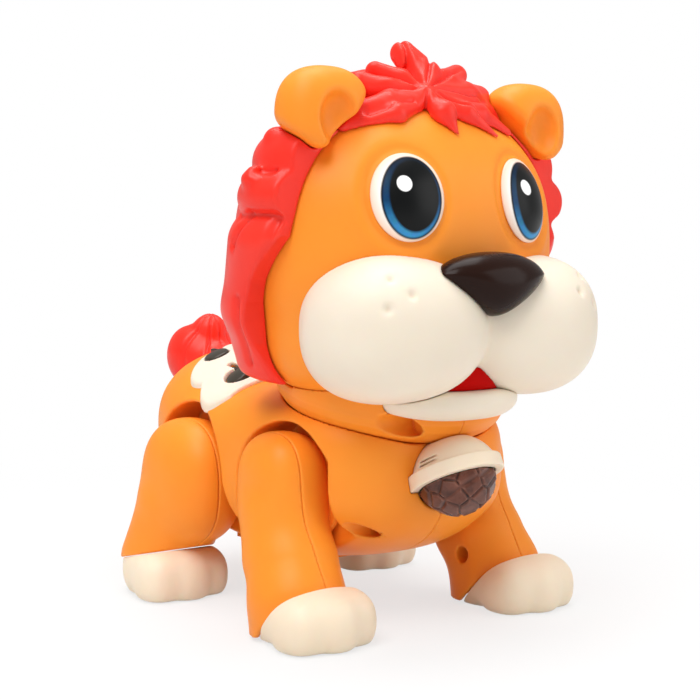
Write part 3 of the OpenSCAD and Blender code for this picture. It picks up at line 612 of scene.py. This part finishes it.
def faceSmooth(p):
    return softMin([oval(p, (0, 12, 142), (head["w"], 43, 54), 2.3),
                    oval(p, (0, 14, 107), (head["w"] - 9, 38, 27), 2.2)], 4)


def eyePlace(p):
    q = mirrored(p)
    c, s = math.cos(eye["turn"]), math.sin(eye["turn"])
    a = ((q[:, 0] - eye["x"]) * c + (q[:, 1] - eye["at"][0]) * s) / eye["wide"]
    b = (q[:, 2] - eye["at"][1]) / eye["tall"]
    front = q[:, 1] < 0
    return a, b, np.where(front, np.hypot(a, b), 9)


def faceForm(p):
    a, b, rho = eyePlace(p)
    d = faceSmooth(p)
    d = d - eye["brow"] * np.exp(-((rho - 1.4) / 0.2) ** 2) * np.clip(0.75 + a * 0.5 - b * 0.15, 0, 1.2)
    return d + eye["dent"] * np.exp(-((rho - 1.1) / 0.1) ** 2)


# height and depth of the edge where the mane starts
hairLine = (90, 106, 121, 129, 137, 144, 152, 172, 186), (20, 18.8, 13.7, 9.2, 2.5, -3.5, -5, -6.6, -8)


def behind(p):
    return p[:, 1] - np.interp(p[:, 2], *hairLine)


def faceShell(p):
    d = faceForm(p)
    d = np.maximum(d, -(d + head["wall"]))
    d = np.maximum(d, behind(p) - 7)
    return roundMax(d, 12 - overNeck(p), 0.25)


mould("faceShell", faceShell, (-66, -36, 84), (66, 32, 200), head["pitch"], "head", "face_shell",
      orangePlastic)

muzzle = {"at": (27.5, -19, 112), "size": (33, 28.5, 26), "square": 2.35, "flare": 0.0024, "blend": 1.6,
          "dimples": [(43.9, -37.8, 128.8), (39.1, -43.4, 124.2), (47.7, -41.5, 119.7)], "dimple": 1.0,
          "pitch": 0.6}


def muzzleForm(p):
    x, y, z = muzzle["at"]
    tall = 1 + muzzle["flare"] * (np.abs(p[:, 0]) - x)            # cheeks stand a little taller outward
    q = np.stack([p[:, 0], p[:, 1], z + (p[:, 2] - z) / tall], -1)
    return softMin([oval(q, (s * x, y, z), muzzle["size"], muzzle["square"]) for s in (-1, 1)], muzzle["blend"])


def muzzleShell(p):
    q = mirrored(p)
    d = muzzleForm(p)
    for c in muzzle["dimples"]:
        d = d + muzzle["dimple"] * np.exp(-((q - vec(*c)) ** 2).sum(1) / 3.2)
    d = np.maximum(d, -(d + head["wall"]))
    return roundMax(d, 0.25 - faceSmooth(p), 0.8)


mould("muzzle", muzzleShell, (-64, -52, 82), (64, 24, 142), muzzle["pitch"], "head", "muzzle",
      creamPlastic)

nose = {"at": (0, -39.5, 127.6), "size": (25, 10.8, 11.3), "square": 2.1, "taper": 0.044, "taperFrom": 131,
        "bend": 0.002, "pitch": 0.45}


def noseForm(p):
    narrow = np.clip(1 + (p[:, 2] - nose["taperFrom"]) * nose["taper"], 0.3, 1)
    q = np.stack([p[:, 0] / narrow, p[:, 1] - nose["bend"] * p[:, 0] ** 2, p[:, 2]], -1)
    d = oval(q, nose["at"], nose["size"], nose["square"])
    return roundMax(d, np.maximum(0.2 - faceSmooth(p), 0.25 - muzzleForm(p)), 0.5)


mould("nose", noseForm, (-25, -54, 112), (25, -20, 143), nose["pitch"], "head", "nose", noseGloss)

jaw = {"at": (0, -14, 86), "size": (29, 21, 9.5), "top": 89.6, "pitch": 0.5}


def jawForm(p):
    d = roundMax(oval(p, jaw["at"], jaw["size"], 2.3), p[:, 2] - jaw["top"], 2.4)
    return roundMax(d, 12.1 - overNeck(p), 1.0)


def jawShell(p):
    d = jawForm(p)
    d = np.maximum(d, -(d + head["wall"]))
    return roundMax(d, 0.25 - np.minimum(faceSmooth(p), muzzleForm(p)), 0.6)


mould("lowerJaw", jawShell, (-33, -38, 74), (33, 10, 94), jaw["pitch"], "head", "lower_jaw", creamPlastic)

mouth = {"at": (0, -21, 95), "size": (21, 11.8, 10), "gap": 0.15, "pitch": 0.4}


def mouthForm(p):
    d = np.maximum(oval(p, mouth["at"], mouth["size"], 2.2), mouth["gap"] - faceSmooth(p))
    return np.maximum(d, mouth["gap"] - np.minimum(muzzleForm(p), jawForm(p)))


mould("mouthInsert", mouthForm, (-22, -36, 84), (22, -14, 106), mouth["pitch"], "head", "mouth_insert",
      mouthRed)

ear = {"at": (47, -4, 185.5), "size": (17.5, 12, 17.5), "root": ((40, 0, 171), (45.5, -2, 182), 9, 11),
       "brow": (36, 189.5), "heel": (64.1, -0.3, 183.1), "heelFacing": (0.487, 0.294, -0.823),
       "dish": (48, -16.5, 184.5), "dishSize": (7.6, 7, 9.4), "pitch": 0.6}


def earForm(p):
    q = mirrored(p)
    d = softMin([oval(q, ear["at"], ear["size"], 2.5), limb(q, *ear["root"])], 2)
    x, z = ear["brow"]
    d = roundMax(d, (x - q[:, 0]) * 0.7 + (z - q[:, 2]) * 0.715, 4)          # runs out on the brow
    return roundMax(d, (q - vec(*ear["heel"])) @ vec(*ear["heelFacing"]), 3)  # and on the top lock behind it


def earPiece(p):
    d = roundMax(earForm(p), 0.2 - faceSmooth(p), 0.6)
    return roundMax(d, -oval(p, ear["dish"], ear["dishSize"]), 2.0)


for side in ("left", "right"):
    mould("ear" + side.title(), earPiece, (22, -20, 158), (68, 20, 207), ear["pitch"], "head", "ear_" + side,
          orangePlastic, side == "right")
print("face done")

# hair
hair = {"pitch": 0.6, "groove": 1.5, "grooveWide": 1.5, "backLines": (9, 27, 45), "backWide": 2.2,
        "wave": 3, "waveLong": 9, "lidFrom": 37, "sideFrom": 36, "sideRise": 5}
maneLines = [
    [(66, 16, 167), (66, 5, 166), (64, 0, 166)],
    [(71, 16, 151), (70, 9, 151.8), (69, 5.4, 151.8), (66, -3, 151.3)],
    [(67, -2.5, 149), (68.5, -1.7, 142.8), (69, 2.5, 134.5)],
    [(63, -6.5, 148), (66, -5, 141), (68, 0.5, 133)],
    [(68, 2, 129.5), (67, 7.7, 122), (67, 13, 113)],
    [(70, 9, 151.8), (70.5, 13, 147), (70, 17, 141)],
    [(70, 17.5, 122), (67, 20, 111), (58, 26, 99)],
    [(66, 36, 160), (66, 34, 138), (64, 36, 122), (58, 38, 108)]]
crownTilt = math.radians(40)


def maneForm(p):
    q = mirrored(p)
    flat = q * vec(1, 0.7, 1)                                     # long locks are deeper than wide
    return softMin([oval(p, (0, 12.5, 140), (64.5, 46.5, 57), 2.3),
                    oval(q, (51.5, 6, 170.5), (12.8, 20, 12.5)), limb(q, (52, 7, 171), (58.5, 8, 178), 8, 4),
                    oval(q, (57.5, 6.5, 158), (13.5, 19, 11.5)), limb(q, (59, 7, 159), (67.6, 8, 164), 9, 4.5),
                    limb(flat, (57.5, 8, 142), (54.5, 14.5, 119), 14.2, 13.8),
                    limb(flat, (54.5, 14.5, 119), (46, 20.5, 101), 13.8, 12),
                    limb(q, (49, 22, 106), (46, 19.5, 92), 7, 3)], 1.0)


def crown(p):
    return (p[:, 2] - 180) * math.cos(crownTilt) - (p[:, 1] - 12) * math.sin(crownTilt)


def maneShell(p):
    q = mirrored(p)
    d = maneForm(p)
    side = vec(0.35, 1, 1)
    for line in maneLines:
        d = d + hair["groove"] * np.exp(-(strand(q * side, np.array(line) * side) / hair["grooveWide"]) ** 2)
    deep = hair["groove"] * np.clip((p[:, 1] - 24) / 12, 0, 1) * np.clip((180 - p[:, 2]) / 20, 0, 1)
    for k, x in enumerate(hair["backLines"]):
        off = q[:, 0] - x - hair["wave"] * np.sin(p[:, 2] / hair["waveLong"] + 2 * k)
        d = d + deep * np.exp(-(off / hair["backWide"]) ** 2)
    rear = behind(p)
    lid = crown(p) + 3 - np.maximum(hair["lidFrom"] - q[:, 0], 0)     # closes the top locks beside the forelock
    hollow = np.minimum(np.max([d + head["wall"], 4 - rear, lid], axis=0),
                        np.maximum(faceSmooth(p) - 0.5, rear - 8))
    d = np.maximum(d, -hollow)
    d = roundMax(d, -rear, 1.2)
    under = np.clip((q[:, 0] - hair["sideFrom"]) * hair["sideRise"], 0, 20)      # top lock passes under the ear
    d = roundMax(d, crown(p) + 0.4 - under, 0.6)
    d = roundMax(d, 0.4 - np.maximum(forelockForm(p), -crown(p)), 0.3)
    d = roundMax(d, 13 - overNeck(p), 1.0)
    return roundMax(d, 0.4 - earForm(p), 0.3)


forelock = {
    "whorl": (-6, -9, 193), "back": (0, 12, 190), "soft": 0.6, "axis": (-0.08, -0.44, 0.894), "part": 1.6,
    "partWide": 0.9, "slit": [(-32, -11, 186.5), (-24, -13.5, 189), (-14, -12.5, 191.5)],
    "slitDeep": 1.3, "slitWide": 1.5,
    "tufts": [((2, 1, 203), (-3.5, 6, 211.6), 6.6, 4.8), ((-11, -1, 199.5), (-18, 4, 204), 5.4, 3.6),
              ((-19, -3, 195.5), (-27.5, 1, 199.5), 5.6, 3.6), ((11, 0, 200.5), (20.5, 4, 205), 5.8, 4.2),
              ((18, -2, 195), (29, 2, 196.5), 7.2, 5.4), ((24, -2, 190), (36, 1, 190), 6.5, 5),
              ((-8, 22, 199), (-14, 30, 202), 8, 4.5), ((10, 22, 199), (16, 30, 202), 8, 4.5),
              ((-24, 22, 192), (-36, 26, 190), 8, 5), ((24, 22, 192), (36, 26, 190), 8, 5),
              ((0, 34, 190), (0, 42, 188), 8, 5)],
    "fringe": [((-22, -8, 191), (-38, -5, 187), 4.4, 3), ((-22, -13, 187), (-40, -7, 182.5), 4.2, 2.6),
               ((-3, -16.5, 188), (-0.5, -21, 180.6), 4.8, 0.9), ((9, -14.5, 188.5), (20, -19, 181), 4.4, 0.9),
               ((17, -12, 188.5), (30, -14, 183), 4.6, 1.6)],
    "partings": [(8.6, 5, 211.6), (-8.5, 5, 211), (-22, 3, 205.5), (-28.6, -4, 194.8), (-11.3, -18.6, 187),
                 (3.5, -20, 186), (14, -17, 187), (33, -4, 190), (25.6, 4, 206.4), (0, 36, 196)]}


def lock(p, start, middle, tip, r, rTip):
    return roundMin(limb(p, start, middle, r * 0.75, r), limb(p, middle, tip, r, rTip), 1.5)


def aboutWhorl(p):
    # turn and reach of a point about the whorl the locks grow from
    n = vec(*forelock["axis"])
    u = np.cross(n, vec(1, 0, 0))
    u /= np.linalg.norm(u)
    q = p - vec(*forelock["whorl"])
    a, b = q @ u, q @ np.cross(n, u)
    return np.arctan2(b, a), np.hypot(a, b)


partTurns = aboutWhorl(np.array(forelock["partings"], np.float32))[0]


def forelockForm(p):
    locks = [oval(p, (0, 14, 178), (42.5, 31, 22.5))]
    for middle, tip, r, rTip in forelock["tufts"]:
        start = forelock["whorl"] if middle[1] < 10 else forelock["back"]
        locks.append(lock(p, start, middle, tip, r, rTip))
    locks += [lock(p, forelock["whorl"], m, t, r, k) for m, t, r, k in forelock["fringe"]]
    d = softMin(locks, forelock["soft"])
    turn, reach = aboutWhorl(p)
    off = np.abs(np.sin((turn[:, None] - partTurns) / 2)).min(1) * 2 * reach
    deep = forelock["part"] * np.clip(reach / 5, 0, 1) * np.clip((34 - reach) / 12, 0, 1)
    d = d + deep * np.exp(-(off / forelock["partWide"]) ** 2)
    return d + forelock["slitDeep"] * np.exp(-(strand(p, forelock["slit"]) / forelock["slitWide"]) ** 2)


def forelockShell(p):
    d = forelockForm(p)
    d = np.maximum(d, 0.45 - faceSmooth(p))
    d = roundMax(d, -crown(p), 0.6)
    return roundMax(d, 0.9 - earForm(p), 0.5)


mould("mane", maneShell, (-76, -14, 84), (76, 66, 202), hair["pitch"], "head", "mane_shell", redPlastic)
mould("forelock", forelockShell, (-50, -26, 168), (50, 52, 220), hair["pitch"], "head", "forelock",
      redPlastic)
print("hair done")


# collar under the chin, in two halves on the neck spindle
collar = {"profile": ((0.5, 3, 6, 9.1, 11.8, 17, 24, 34), (36.6, 40.2, 42.6, 43.8, 44, 43.8, 42, 37)),
          "wall": 2.4, "screw": (-16.6, 77.4), "bore": 4.3, "boss": 6.6, "pitch": 0.55}


def collarHalf(side):
    def form(p):
        q = p - vec(*neck["at"])
        h = overNeck(p)
        v = q[:, 1] * math.cos(neck["lean"]) + q[:, 2] * math.sin(neck["lean"])
        outer = (np.hypot(q[:, 0], v) - np.interp(h, *collar["profile"])) * 0.8
        above = np.max([0.15 - faceSmooth(p), 0.25 - muzzleForm(p), 0.25 - jawForm(p), behind(p) + 0.6], axis=0)
        d = roundMax(outer, 0.5 - h, 0.5)
        d = roundMax(d, np.minimum(h - 11.8, above), 0.3)
        hollow = np.max([outer + collar["wall"], 3 - h, h - 9.4], axis=0)
        y, z = collar["screw"]
        d = np.maximum(d, -np.maximum(hollow, collar["boss"] - bar(p, y, z, 0)))
        d = np.maximum(d, 11 - np.hypot(q[:, 0], v))
        if side < 0:
            d = roundMax(d, -bar(p, y, z, collar["bore"], -60, -13), 0.6)
        return roundMax(d, 0.05 - side * p[:, 0], 0.3)
    return form


for side, name in ((-1, "right"), (1, "left")):
    xs = (-48, 0) if side < 0 else (0, 48)
    mould("collar" + name.title(), collarHalf(side), (xs[0], -28, 66), (xs[1], 68, 104), collar["pitch"], "head",
          "collar_" + name, orangePlastic)


# eyes: domed ovals printed with outline, iris, pupil and highlight, each given as centre, radii and softness
eyePrint = {"outline": (0.07, -0.01, 0.84, 0.93, 0.02), "iris": (0.07, -0.01, 0.79, 0.89, 0.03),
            "pupil": (0.12, 0.03, 0.69, 0.81, 0.04), "glint": (-0.16, 0.3, 0.2, 0.18, 0.06)}


def eyeFinish(name):
    mat, tree, shader, add = nodeTree(name)
    link = tree.links.new
    spot = add("ShaderNodeAttribute", attribute_name="eyePlane")
    cut = add("ShaderNodeSeparateXYZ")
    link(spot.outputs["Vector"], cut.inputs["Vector"])

    def reach(cx, cy, rx, ry):
        both = add("ShaderNodeCombineXYZ")
        for axis, c, r in (("X", cx, rx), ("Y", cy, ry)):
            scaled = add("ShaderNodeMath", operation="MULTIPLY_ADD")
            link(cut.outputs[axis], scaled.inputs[0])
            scaled.inputs[1].default_value, scaled.inputs[2].default_value = 1 / r, -c / r
            link(scaled.outputs[0], both.inputs[axis])
        long = add("ShaderNodeVectorMath", operation="LENGTH")
        link(both.outputs["Vector"], long.inputs[0])
        return long.outputs["Value"]

    def over(below, shape, colour):
        cx, cy, rx, ry, soft = eyePrint[shape]
        inside = add("ShaderNodeMapRange", **{"From Min": 1 + soft, "From Max": 1 - soft})
        link(reach(cx, cy, rx, ry), inside.inputs["Value"])
        mix = add("ShaderNodeMix", data_type="RGBA")
        link(inside.outputs["Result"], mix.inputs["Factor"])
        link(below, mix.inputs["A"])
        if isinstance(colour, tuple):
            mix.inputs["B"].default_value = colour
        else:
            link(colour, mix.inputs["B"])
        return mix.outputs["Result"]

    white = ramp(tree, add, reach(0, 0, 1, 1), [(0.8, srgb(255, 246, 238)), (1.0, srgb(250, 214, 190))])
    low = add("ShaderNodeMapRange", **{"From Min": -0.9, "From Max": 0.9})
    link(cut.outputs["Y"], low.inputs["Value"])
    blue = ramp(tree, add, low.outputs["Result"],
                [(0.0, srgb(62, 156, 214)), (0.45, srgb(14, 62, 104)), (1.0, srgb(6, 24, 40))])
    streak = add("ShaderNodeTexNoise", Scale=9.0, Detail=3.0)
    link(spot.outputs["Vector"], streak.inputs["Vector"])
    light = add("ShaderNodeMix", data_type="RGBA", blend_type="OVERLAY")
    light.inputs["Factor"].default_value = 0.35
    link(blue.outputs["Color"], light.inputs["A"])
    link(streak.outputs["Color"], light.inputs["B"])
    look = over(white.outputs["Color"], "outline", srgb(10, 16, 24))
    look = over(look, "iris", light.outputs["Result"])
    look = over(look, "pupil", srgb(8, 10, 11))
    look = over(look, "glint", srgb(255, 255, 255))
    link(look, shader.inputs["Base Color"])
    shader.inputs["Roughness"].default_value = 0.34
    shader.inputs["Specular IOR Level"].default_value = 0.2
    return mat


def eyePiece(name, s):
    rings, spokes = eye["rings"], eye["spokes"]
    c = vec(eye["x"] * s, *eye["at"])
    d = vec(math.sin(eye["turn"]) * s, -math.cos(eye["turn"]), 0)
    u = vec(-d[1], d[0], 0)
    a = np.arange(spokes) * 2 * np.pi / spokes
    t = np.concatenate([np.linspace(0, 1, rings + 1), np.linspace(1, 0, rings + 1)])[1:-1]
    domed = eye["rim"] + eye["rise"] * (1 - np.linspace(0, 1, rings + 1) ** 2)
    lift = np.concatenate([domed, np.full(rings + 1, eye["back"])])[1:-1]
    flat = np.stack([np.outer(t, np.cos(a)), np.outer(t, np.sin(a))], -1).reshape(-1, 2).astype(np.float32)
    flat = np.concatenate([flat, [[0, 0], [0, 0]]]).astype(np.float32)
    level = np.concatenate([np.repeat(lift, spokes), [eye["rim"] + eye["rise"], eye["back"]]]).astype(np.float32)
    o = c + flat[:, :1] * eye["wide"] * u + flat[:, 1:] * vec(0, 0, eye["tall"])
    pts = cast(faceSmooth, o, np.tile(d, (len(o), 1)), level, 40)
    n = len(t)
    i, j = np.meshgrid(np.arange(n - 1), np.arange(spokes), indexing="ij")
    k = (j + 1) % spokes
    quads = np.stack([i * spokes + j, (i + 1) * spokes + j, (i + 1) * spokes + k, i * spokes + k], -1)
    quads = quads.reshape(-1, 4)
    j = np.arange(spokes)
    k = (j + 1) % spokes
    top, under = n * spokes, n * spokes + 1
    first = np.stack([np.full(spokes, top), j, k], -1)
    last = np.stack([np.full(spokes, under), (n - 1) * spokes + k, (n - 1) * spokes + j], -1)
    me = bpy.data.meshes.new(name)
    faces = quads.tolist() + first.tolist() + last.tolist()
    me.from_pydata(((pts - vec(0, midY, 0)) * 0.001).tolist(), [], faces)
    me.polygons.foreach_set("use_smooth", np.full(len(me.polygons), True))
    plane = me.attributes.new("eyePlane", "FLOAT_VECTOR", "POINT")
    spots = np.concatenate([flat, np.zeros((len(flat), 1))], 1).astype(np.float32)
    plane.data.foreach_set("vector", spots.reshape(-1))
    ob = bpy.data.objects.new(name, me)
    bpy.context.scene.collection.objects.link(ob)
    ob.data.materials.append(eyeFinish(name + " print"))
    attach(ob, "head")
    return ob


for side, s in (("left", 1), ("right", -1)):
    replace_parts(eyePiece("eye" + side.title(), s), "eye_" + side)
print("eyes done")

# projector dome, cut in flat facets
dome = {"facets": 64, "r": 15.0, "cut": 0.972, "crack": 0.8, "crackWide": 0.26, "pitch": 0.3}
golden = math.pi * (3 - math.sqrt(5))
facetDirs = []
for i in range(dome["facets"]):
    z = 1 - 2 * (i + 0.5 + 0.3 * math.sin(i * 7.1)) / (dome["facets"] + 0.6)
    r = math.sqrt(max(1 - z * z, 0))
    turn = golden * i + 0.16 * math.sin(i * 3.7)
    facetDirs.append((r * math.cos(turn), r * math.sin(turn), z))
facetDirs = np.array(facetDirs, np.float32)


def domeForm(p):
    q = onBall(p) - vec(0, 0, 1.6)
    reach = np.sort(q @ facetDirs.T, axis=1)
    d = roundMax(reach[:, -1] - dome["r"] * dome["cut"], np.linalg.norm(q, axis=1) - dome["r"], 0.2)
    d = d + dome["crack"] * np.exp(-((reach[:, -1] - reach[:, -2]) / dome["crackWide"]) ** 2)
    d = np.maximum(d, -(np.linalg.norm(q, axis=1) - dome["r"] + 2.2))
    return np.maximum(d, q[:, 2] + 2.2)


# painted shade darkens the crack grooves and painted glints lighten the facet ridges
domeBrown = plastic("dome brown", {
    "colour": srgb(122, 72, 56), "shade": srgb(72, 40, 31),
    "deep": srgb(20, 10, 7), "edge": srgb(170, 120, 98),
    "rough": 0.22, "cloudScale": 190, "spark": 0.02, "creaseShadeAmount": 1.0, "edgeWearAndSheen": 0.5, "specular": 0.35})
bx, by, bz = ball["at"]
mould("projectorDome", domeForm, (bx - 17, by - 18, bz - 18), (bx + 17, by + 14, bz + 8), dome["pitch"],
      "torso", "projector_dome", domeBrown)

# cap over the dome
cap = {"rim": 2.2, "rimHigh": 2.6, "wall": 1.2, "slots": ((-14.7, 0.3), (-14.0, 1.8)), "slotZ": 5.9,
       "slotHigh": 0.4, "slotLong": 1.8, "slotDeep": 0.6, "pitch": 0.4}
capPlastic = plastic("cap plastic", {
    "colour": srgb(249, 231, 207), "shade": srgb(245, 225, 199),
    "deep": srgb(200, 146, 102), "edge": srgb(252, 236, 218),
    "rough": 0.45, "depth": 0.15, "specular": 0.3})


def capForm(p):
    q = onBall(p)
    reach = np.linalg.norm(q, axis=1)
    wide = np.hypot(q[:, 0], q[:, 1])
    crownPart = np.maximum(reach - ball["r"] - 1, -q[:, 2])
    rim = roundMax(wide - ball["r"] - cap["rim"], np.abs(q[:, 2] - 2.1) - cap["rimHigh"], 0.7)
    d = roundMin(crownPart, rim, 0.6)
    for x, up in cap["slots"]:
        slot = np.max([np.abs(q[:, 2] - cap["slotZ"] - up) - cap["slotHigh"],
                       np.abs(q[:, 0] - x) - cap["slotLong"],
                       ball["r"] - cap["slotDeep"] - reach, q[:, 1]], axis=0)
        d = np.maximum(d, -slot)
    below = np.maximum(wide - ball["r"] + cap["wall"], np.abs(q[:, 2] + 5) - 5)
    d = np.maximum(d, -np.minimum(reach - ball["r"] + cap["wall"], below))
    return roundMax(d, -neckCut(p), 0.4)


mould("projectorCap", capForm, (bx - 19, by - 20, bz - 10), (bx + 19, by + 18, bz + 19), cap["pitch"],
      "torso", "projector_cap", capPlastic)


# finishes of the pieces kept from the frame
def keptFinish(name, colour, shade, deep, edge, rough, metallic=0.0):
    look = {"colour": colour, "shade": shade, "deep": deep, "edge": edge}
    mat = plastic(name, {**{key: value + (1,) for key, value in look.items()}, "rough": rough})
    mat.node_tree.nodes["Principled BSDF"].inputs["Metallic"].default_value = metallic
    return mat


metal = keptFinish("plated steel", (0.62, 0.62, 0.62), (0.55, 0.55, 0.56), (0.3, 0.3, 0.3), (0.7, 0.7, 0.7),
                   0.3, 1.0)
brass = keptFinish("turned brass", (0.75, 0.55, 0.2), (0.68, 0.48, 0.17), (0.3, 0.2, 0.08), (0.8, 0.6, 0.3),
                   0.3, 1.0)
board = keptFinish("board green", (0.02, 0.17, 0.06), (0.015, 0.13, 0.05), (0.01, 0.06, 0.02), (0.1, 0.3, 0.12),
                   0.35)
greyPlastic = keptFinish("grey plastic", (0.2, 0.2, 0.21), (0.17, 0.17, 0.18), (0.08, 0.08, 0.08),
                         (0.3, 0.3, 0.3), 0.5)
plainPlastic = keptFinish("plain plastic", (0.84, 0.83, 0.77), (0.79, 0.78, 0.72), (0.5, 0.48, 0.42),
                          (0.9, 0.9, 0.86), 0.45)
sleeve = keptFinish("cell sleeve", (0.05, 0.09, 0.12), (0.04, 0.07, 0.1), (0.02, 0.03, 0.04), (0.2, 0.22, 0.24),
                    0.25)
kept = {"orange": orangePlastic, "red": redPlastic, "cream": creamPlastic, "black": noteBlack, "steel": metal,
        "contact": metal, "motor_can": metal, "brass": brass, "board": board, "grey": greyPlastic,
        "natural": plainPlastic, "cell": sleeve, "dome": domeBrown, "nose": noseGloss, "mouth": mouthRed,
        "eye": noteBlack}
for row in frame["record"]["subparts"]:
    ob = nodes[row["node"]]
    ob.data.materials.clear()
    ob.data.materials.append(kept[row["material_slot"]])
print("frame pieces finished")

# floor, light and camera
studio = {"camera": (-350.7, -427.2, 138.7), "azimuth": -36.7, "elevation": 3.76, "focal": 1490, "view": 700,
          "floorShade": 0.8, "sky": 0.4, "aim": (0, 0, 0.1),
          "lights": [("keyLight", (-0.75, -0.42, 1.2), (0.8, 0.8), 12),
                     ("fillLight", (0.7, -0.9, 0.5), (0.8, 0.8), 3.2),
                     ("topLight", (0.05, 0.1, 1.2), (0.9, 0.7), 9)]}
floorMesh = bpy.data.meshes.new("floor")
floorMesh.from_pydata([(-6, -6, -0.0002), (6, -6, -0.0002), (6, 6, -0.0002), (-6, 6, -0.0002)], [], [(0, 1, 2, 3)])
floor = bpy.data.objects.new("floor", floorMesh)
bpy.context.scene.collection.objects.link(floor)
mat, tree, shader, add = nodeTree("studio floor")
shader.inputs["Base Color"].default_value = (studio["floorShade"],) * 3 + (1,)
shader.inputs["Roughness"].default_value = 0.9
shader.inputs["Specular IOR Level"].default_value = 0.1
path = add("ShaderNodeLightPath")
seen = add("ShaderNodeMath", operation="MAXIMUM")
tree.links.new(path.outputs["Is Camera Ray"], seen.inputs[0])
tree.links.new(path.outputs["Is Glossy Ray"], seen.inputs[1])
seenToo = add("ShaderNodeMath", operation="MAXIMUM")
tree.links.new(seen.outputs[0], seenToo.inputs[0])
tree.links.new(path.outputs["Is Transmission Ray"], seenToo.inputs[1])
place = add("ShaderNodeTexCoord")
away = add("ShaderNodeVectorMath", operation="LENGTH")
tree.links.new(place.outputs["Object"], away.inputs[0])
fade = add("ShaderNodeMapRange", **{"From Min": 0.12, "From Max": 0.42, "To Min": 0.7, "To Max": 1.0})
tree.links.new(away.outputs["Value"], fade.inputs["Value"])
share = add("ShaderNodeMath", operation="MULTIPLY")
tree.links.new(seenToo.outputs[0], share.inputs[0])
tree.links.new(fade.outputs["Result"], share.inputs[1])
white = add("ShaderNodeEmission", Strength=1.0)
blendNode = add("ShaderNodeMixShader")
tree.links.new(share.outputs[0], blendNode.inputs["Fac"])
tree.links.new(shader.outputs[0], blendNode.inputs[1])
tree.links.new(white.outputs[0], blendNode.inputs[2])
tree.links.new(blendNode.outputs[0], tree.nodes["Material Output"].inputs["Surface"])
floor.data.materials.append(mat)

world = bpy.data.worlds.new("studio")
bpy.context.scene.world = world
world.use_nodes = True
tree = world.node_tree
back = tree.nodes["Background"]
back.inputs["Color"].default_value = (1, 1, 1, 1)
path = tree.nodes.new("ShaderNodeLightPath")
top = tree.nodes.new("ShaderNodeMath")
top.operation = "MAXIMUM"
tree.links.new(path.outputs["Is Camera Ray"], top.inputs[0])
tree.links.new(path.outputs["Is Transmission Ray"], top.inputs[1])
level = tree.nodes.new("ShaderNodeMapRange")
level.inputs["To Min"].default_value = studio["sky"]
level.inputs["To Max"].default_value = 1.0
tree.links.new(top.outputs[0], level.inputs["Value"])
tree.links.new(level.outputs["Result"], back.inputs["Strength"])


def areaLight(name, at, aim, size, power):
    data = bpy.data.lights.new(name, "AREA")
    data.shape = "RECTANGLE"
    data.size, data.size_y = size
    data.energy = power
    ob = bpy.data.objects.new(name, data)
    bpy.context.scene.collection.objects.link(ob)
    at, aim = np.array(at), np.array(aim)
    backward = (at - aim) / np.linalg.norm(at - aim)
    side = np.cross((0, 0, 1), backward)
    side = side / np.linalg.norm(side)
    up = np.cross(backward, side)
    m = np.eye(4)
    m[:3, 0], m[:3, 1], m[:3, 2], m[:3, 3] = side, up, backward, at
    ob.matrix_world = Matrix(m.tolist())


for name, at, size, power in studio["lights"]:
    areaLight(name, at, studio["aim"], size, power)

camData = bpy.data.cameras.new("camera")
cam = bpy.data.objects.new("camera", camData)
bpy.context.scene.collection.objects.link(cam)
bpy.context.scene.camera = cam
camData.sensor_width = 36
camData.lens = 36 * studio["focal"] / studio["view"]
camData.clip_start, camData.clip_end = 0.02, 30
az, el = math.radians(studio["azimuth"]), math.radians(studio["elevation"])
backward = np.array([math.sin(az) * math.cos(el), -math.cos(az) * math.cos(el), math.sin(el)])
right = np.array([math.cos(az), math.sin(az), 0])
m = np.eye(4)
m[:3, 0], m[:3, 1], m[:3, 2] = right, np.cross(backward, right), backward
m[:3, 3] = (np.array(studio["camera"]) - (0, midY, 0)) * 0.001
cam.matrix_world = Matrix(m.tolist())
bpy.context.scene.view_settings.view_transform = "Standard"
print("studio set")
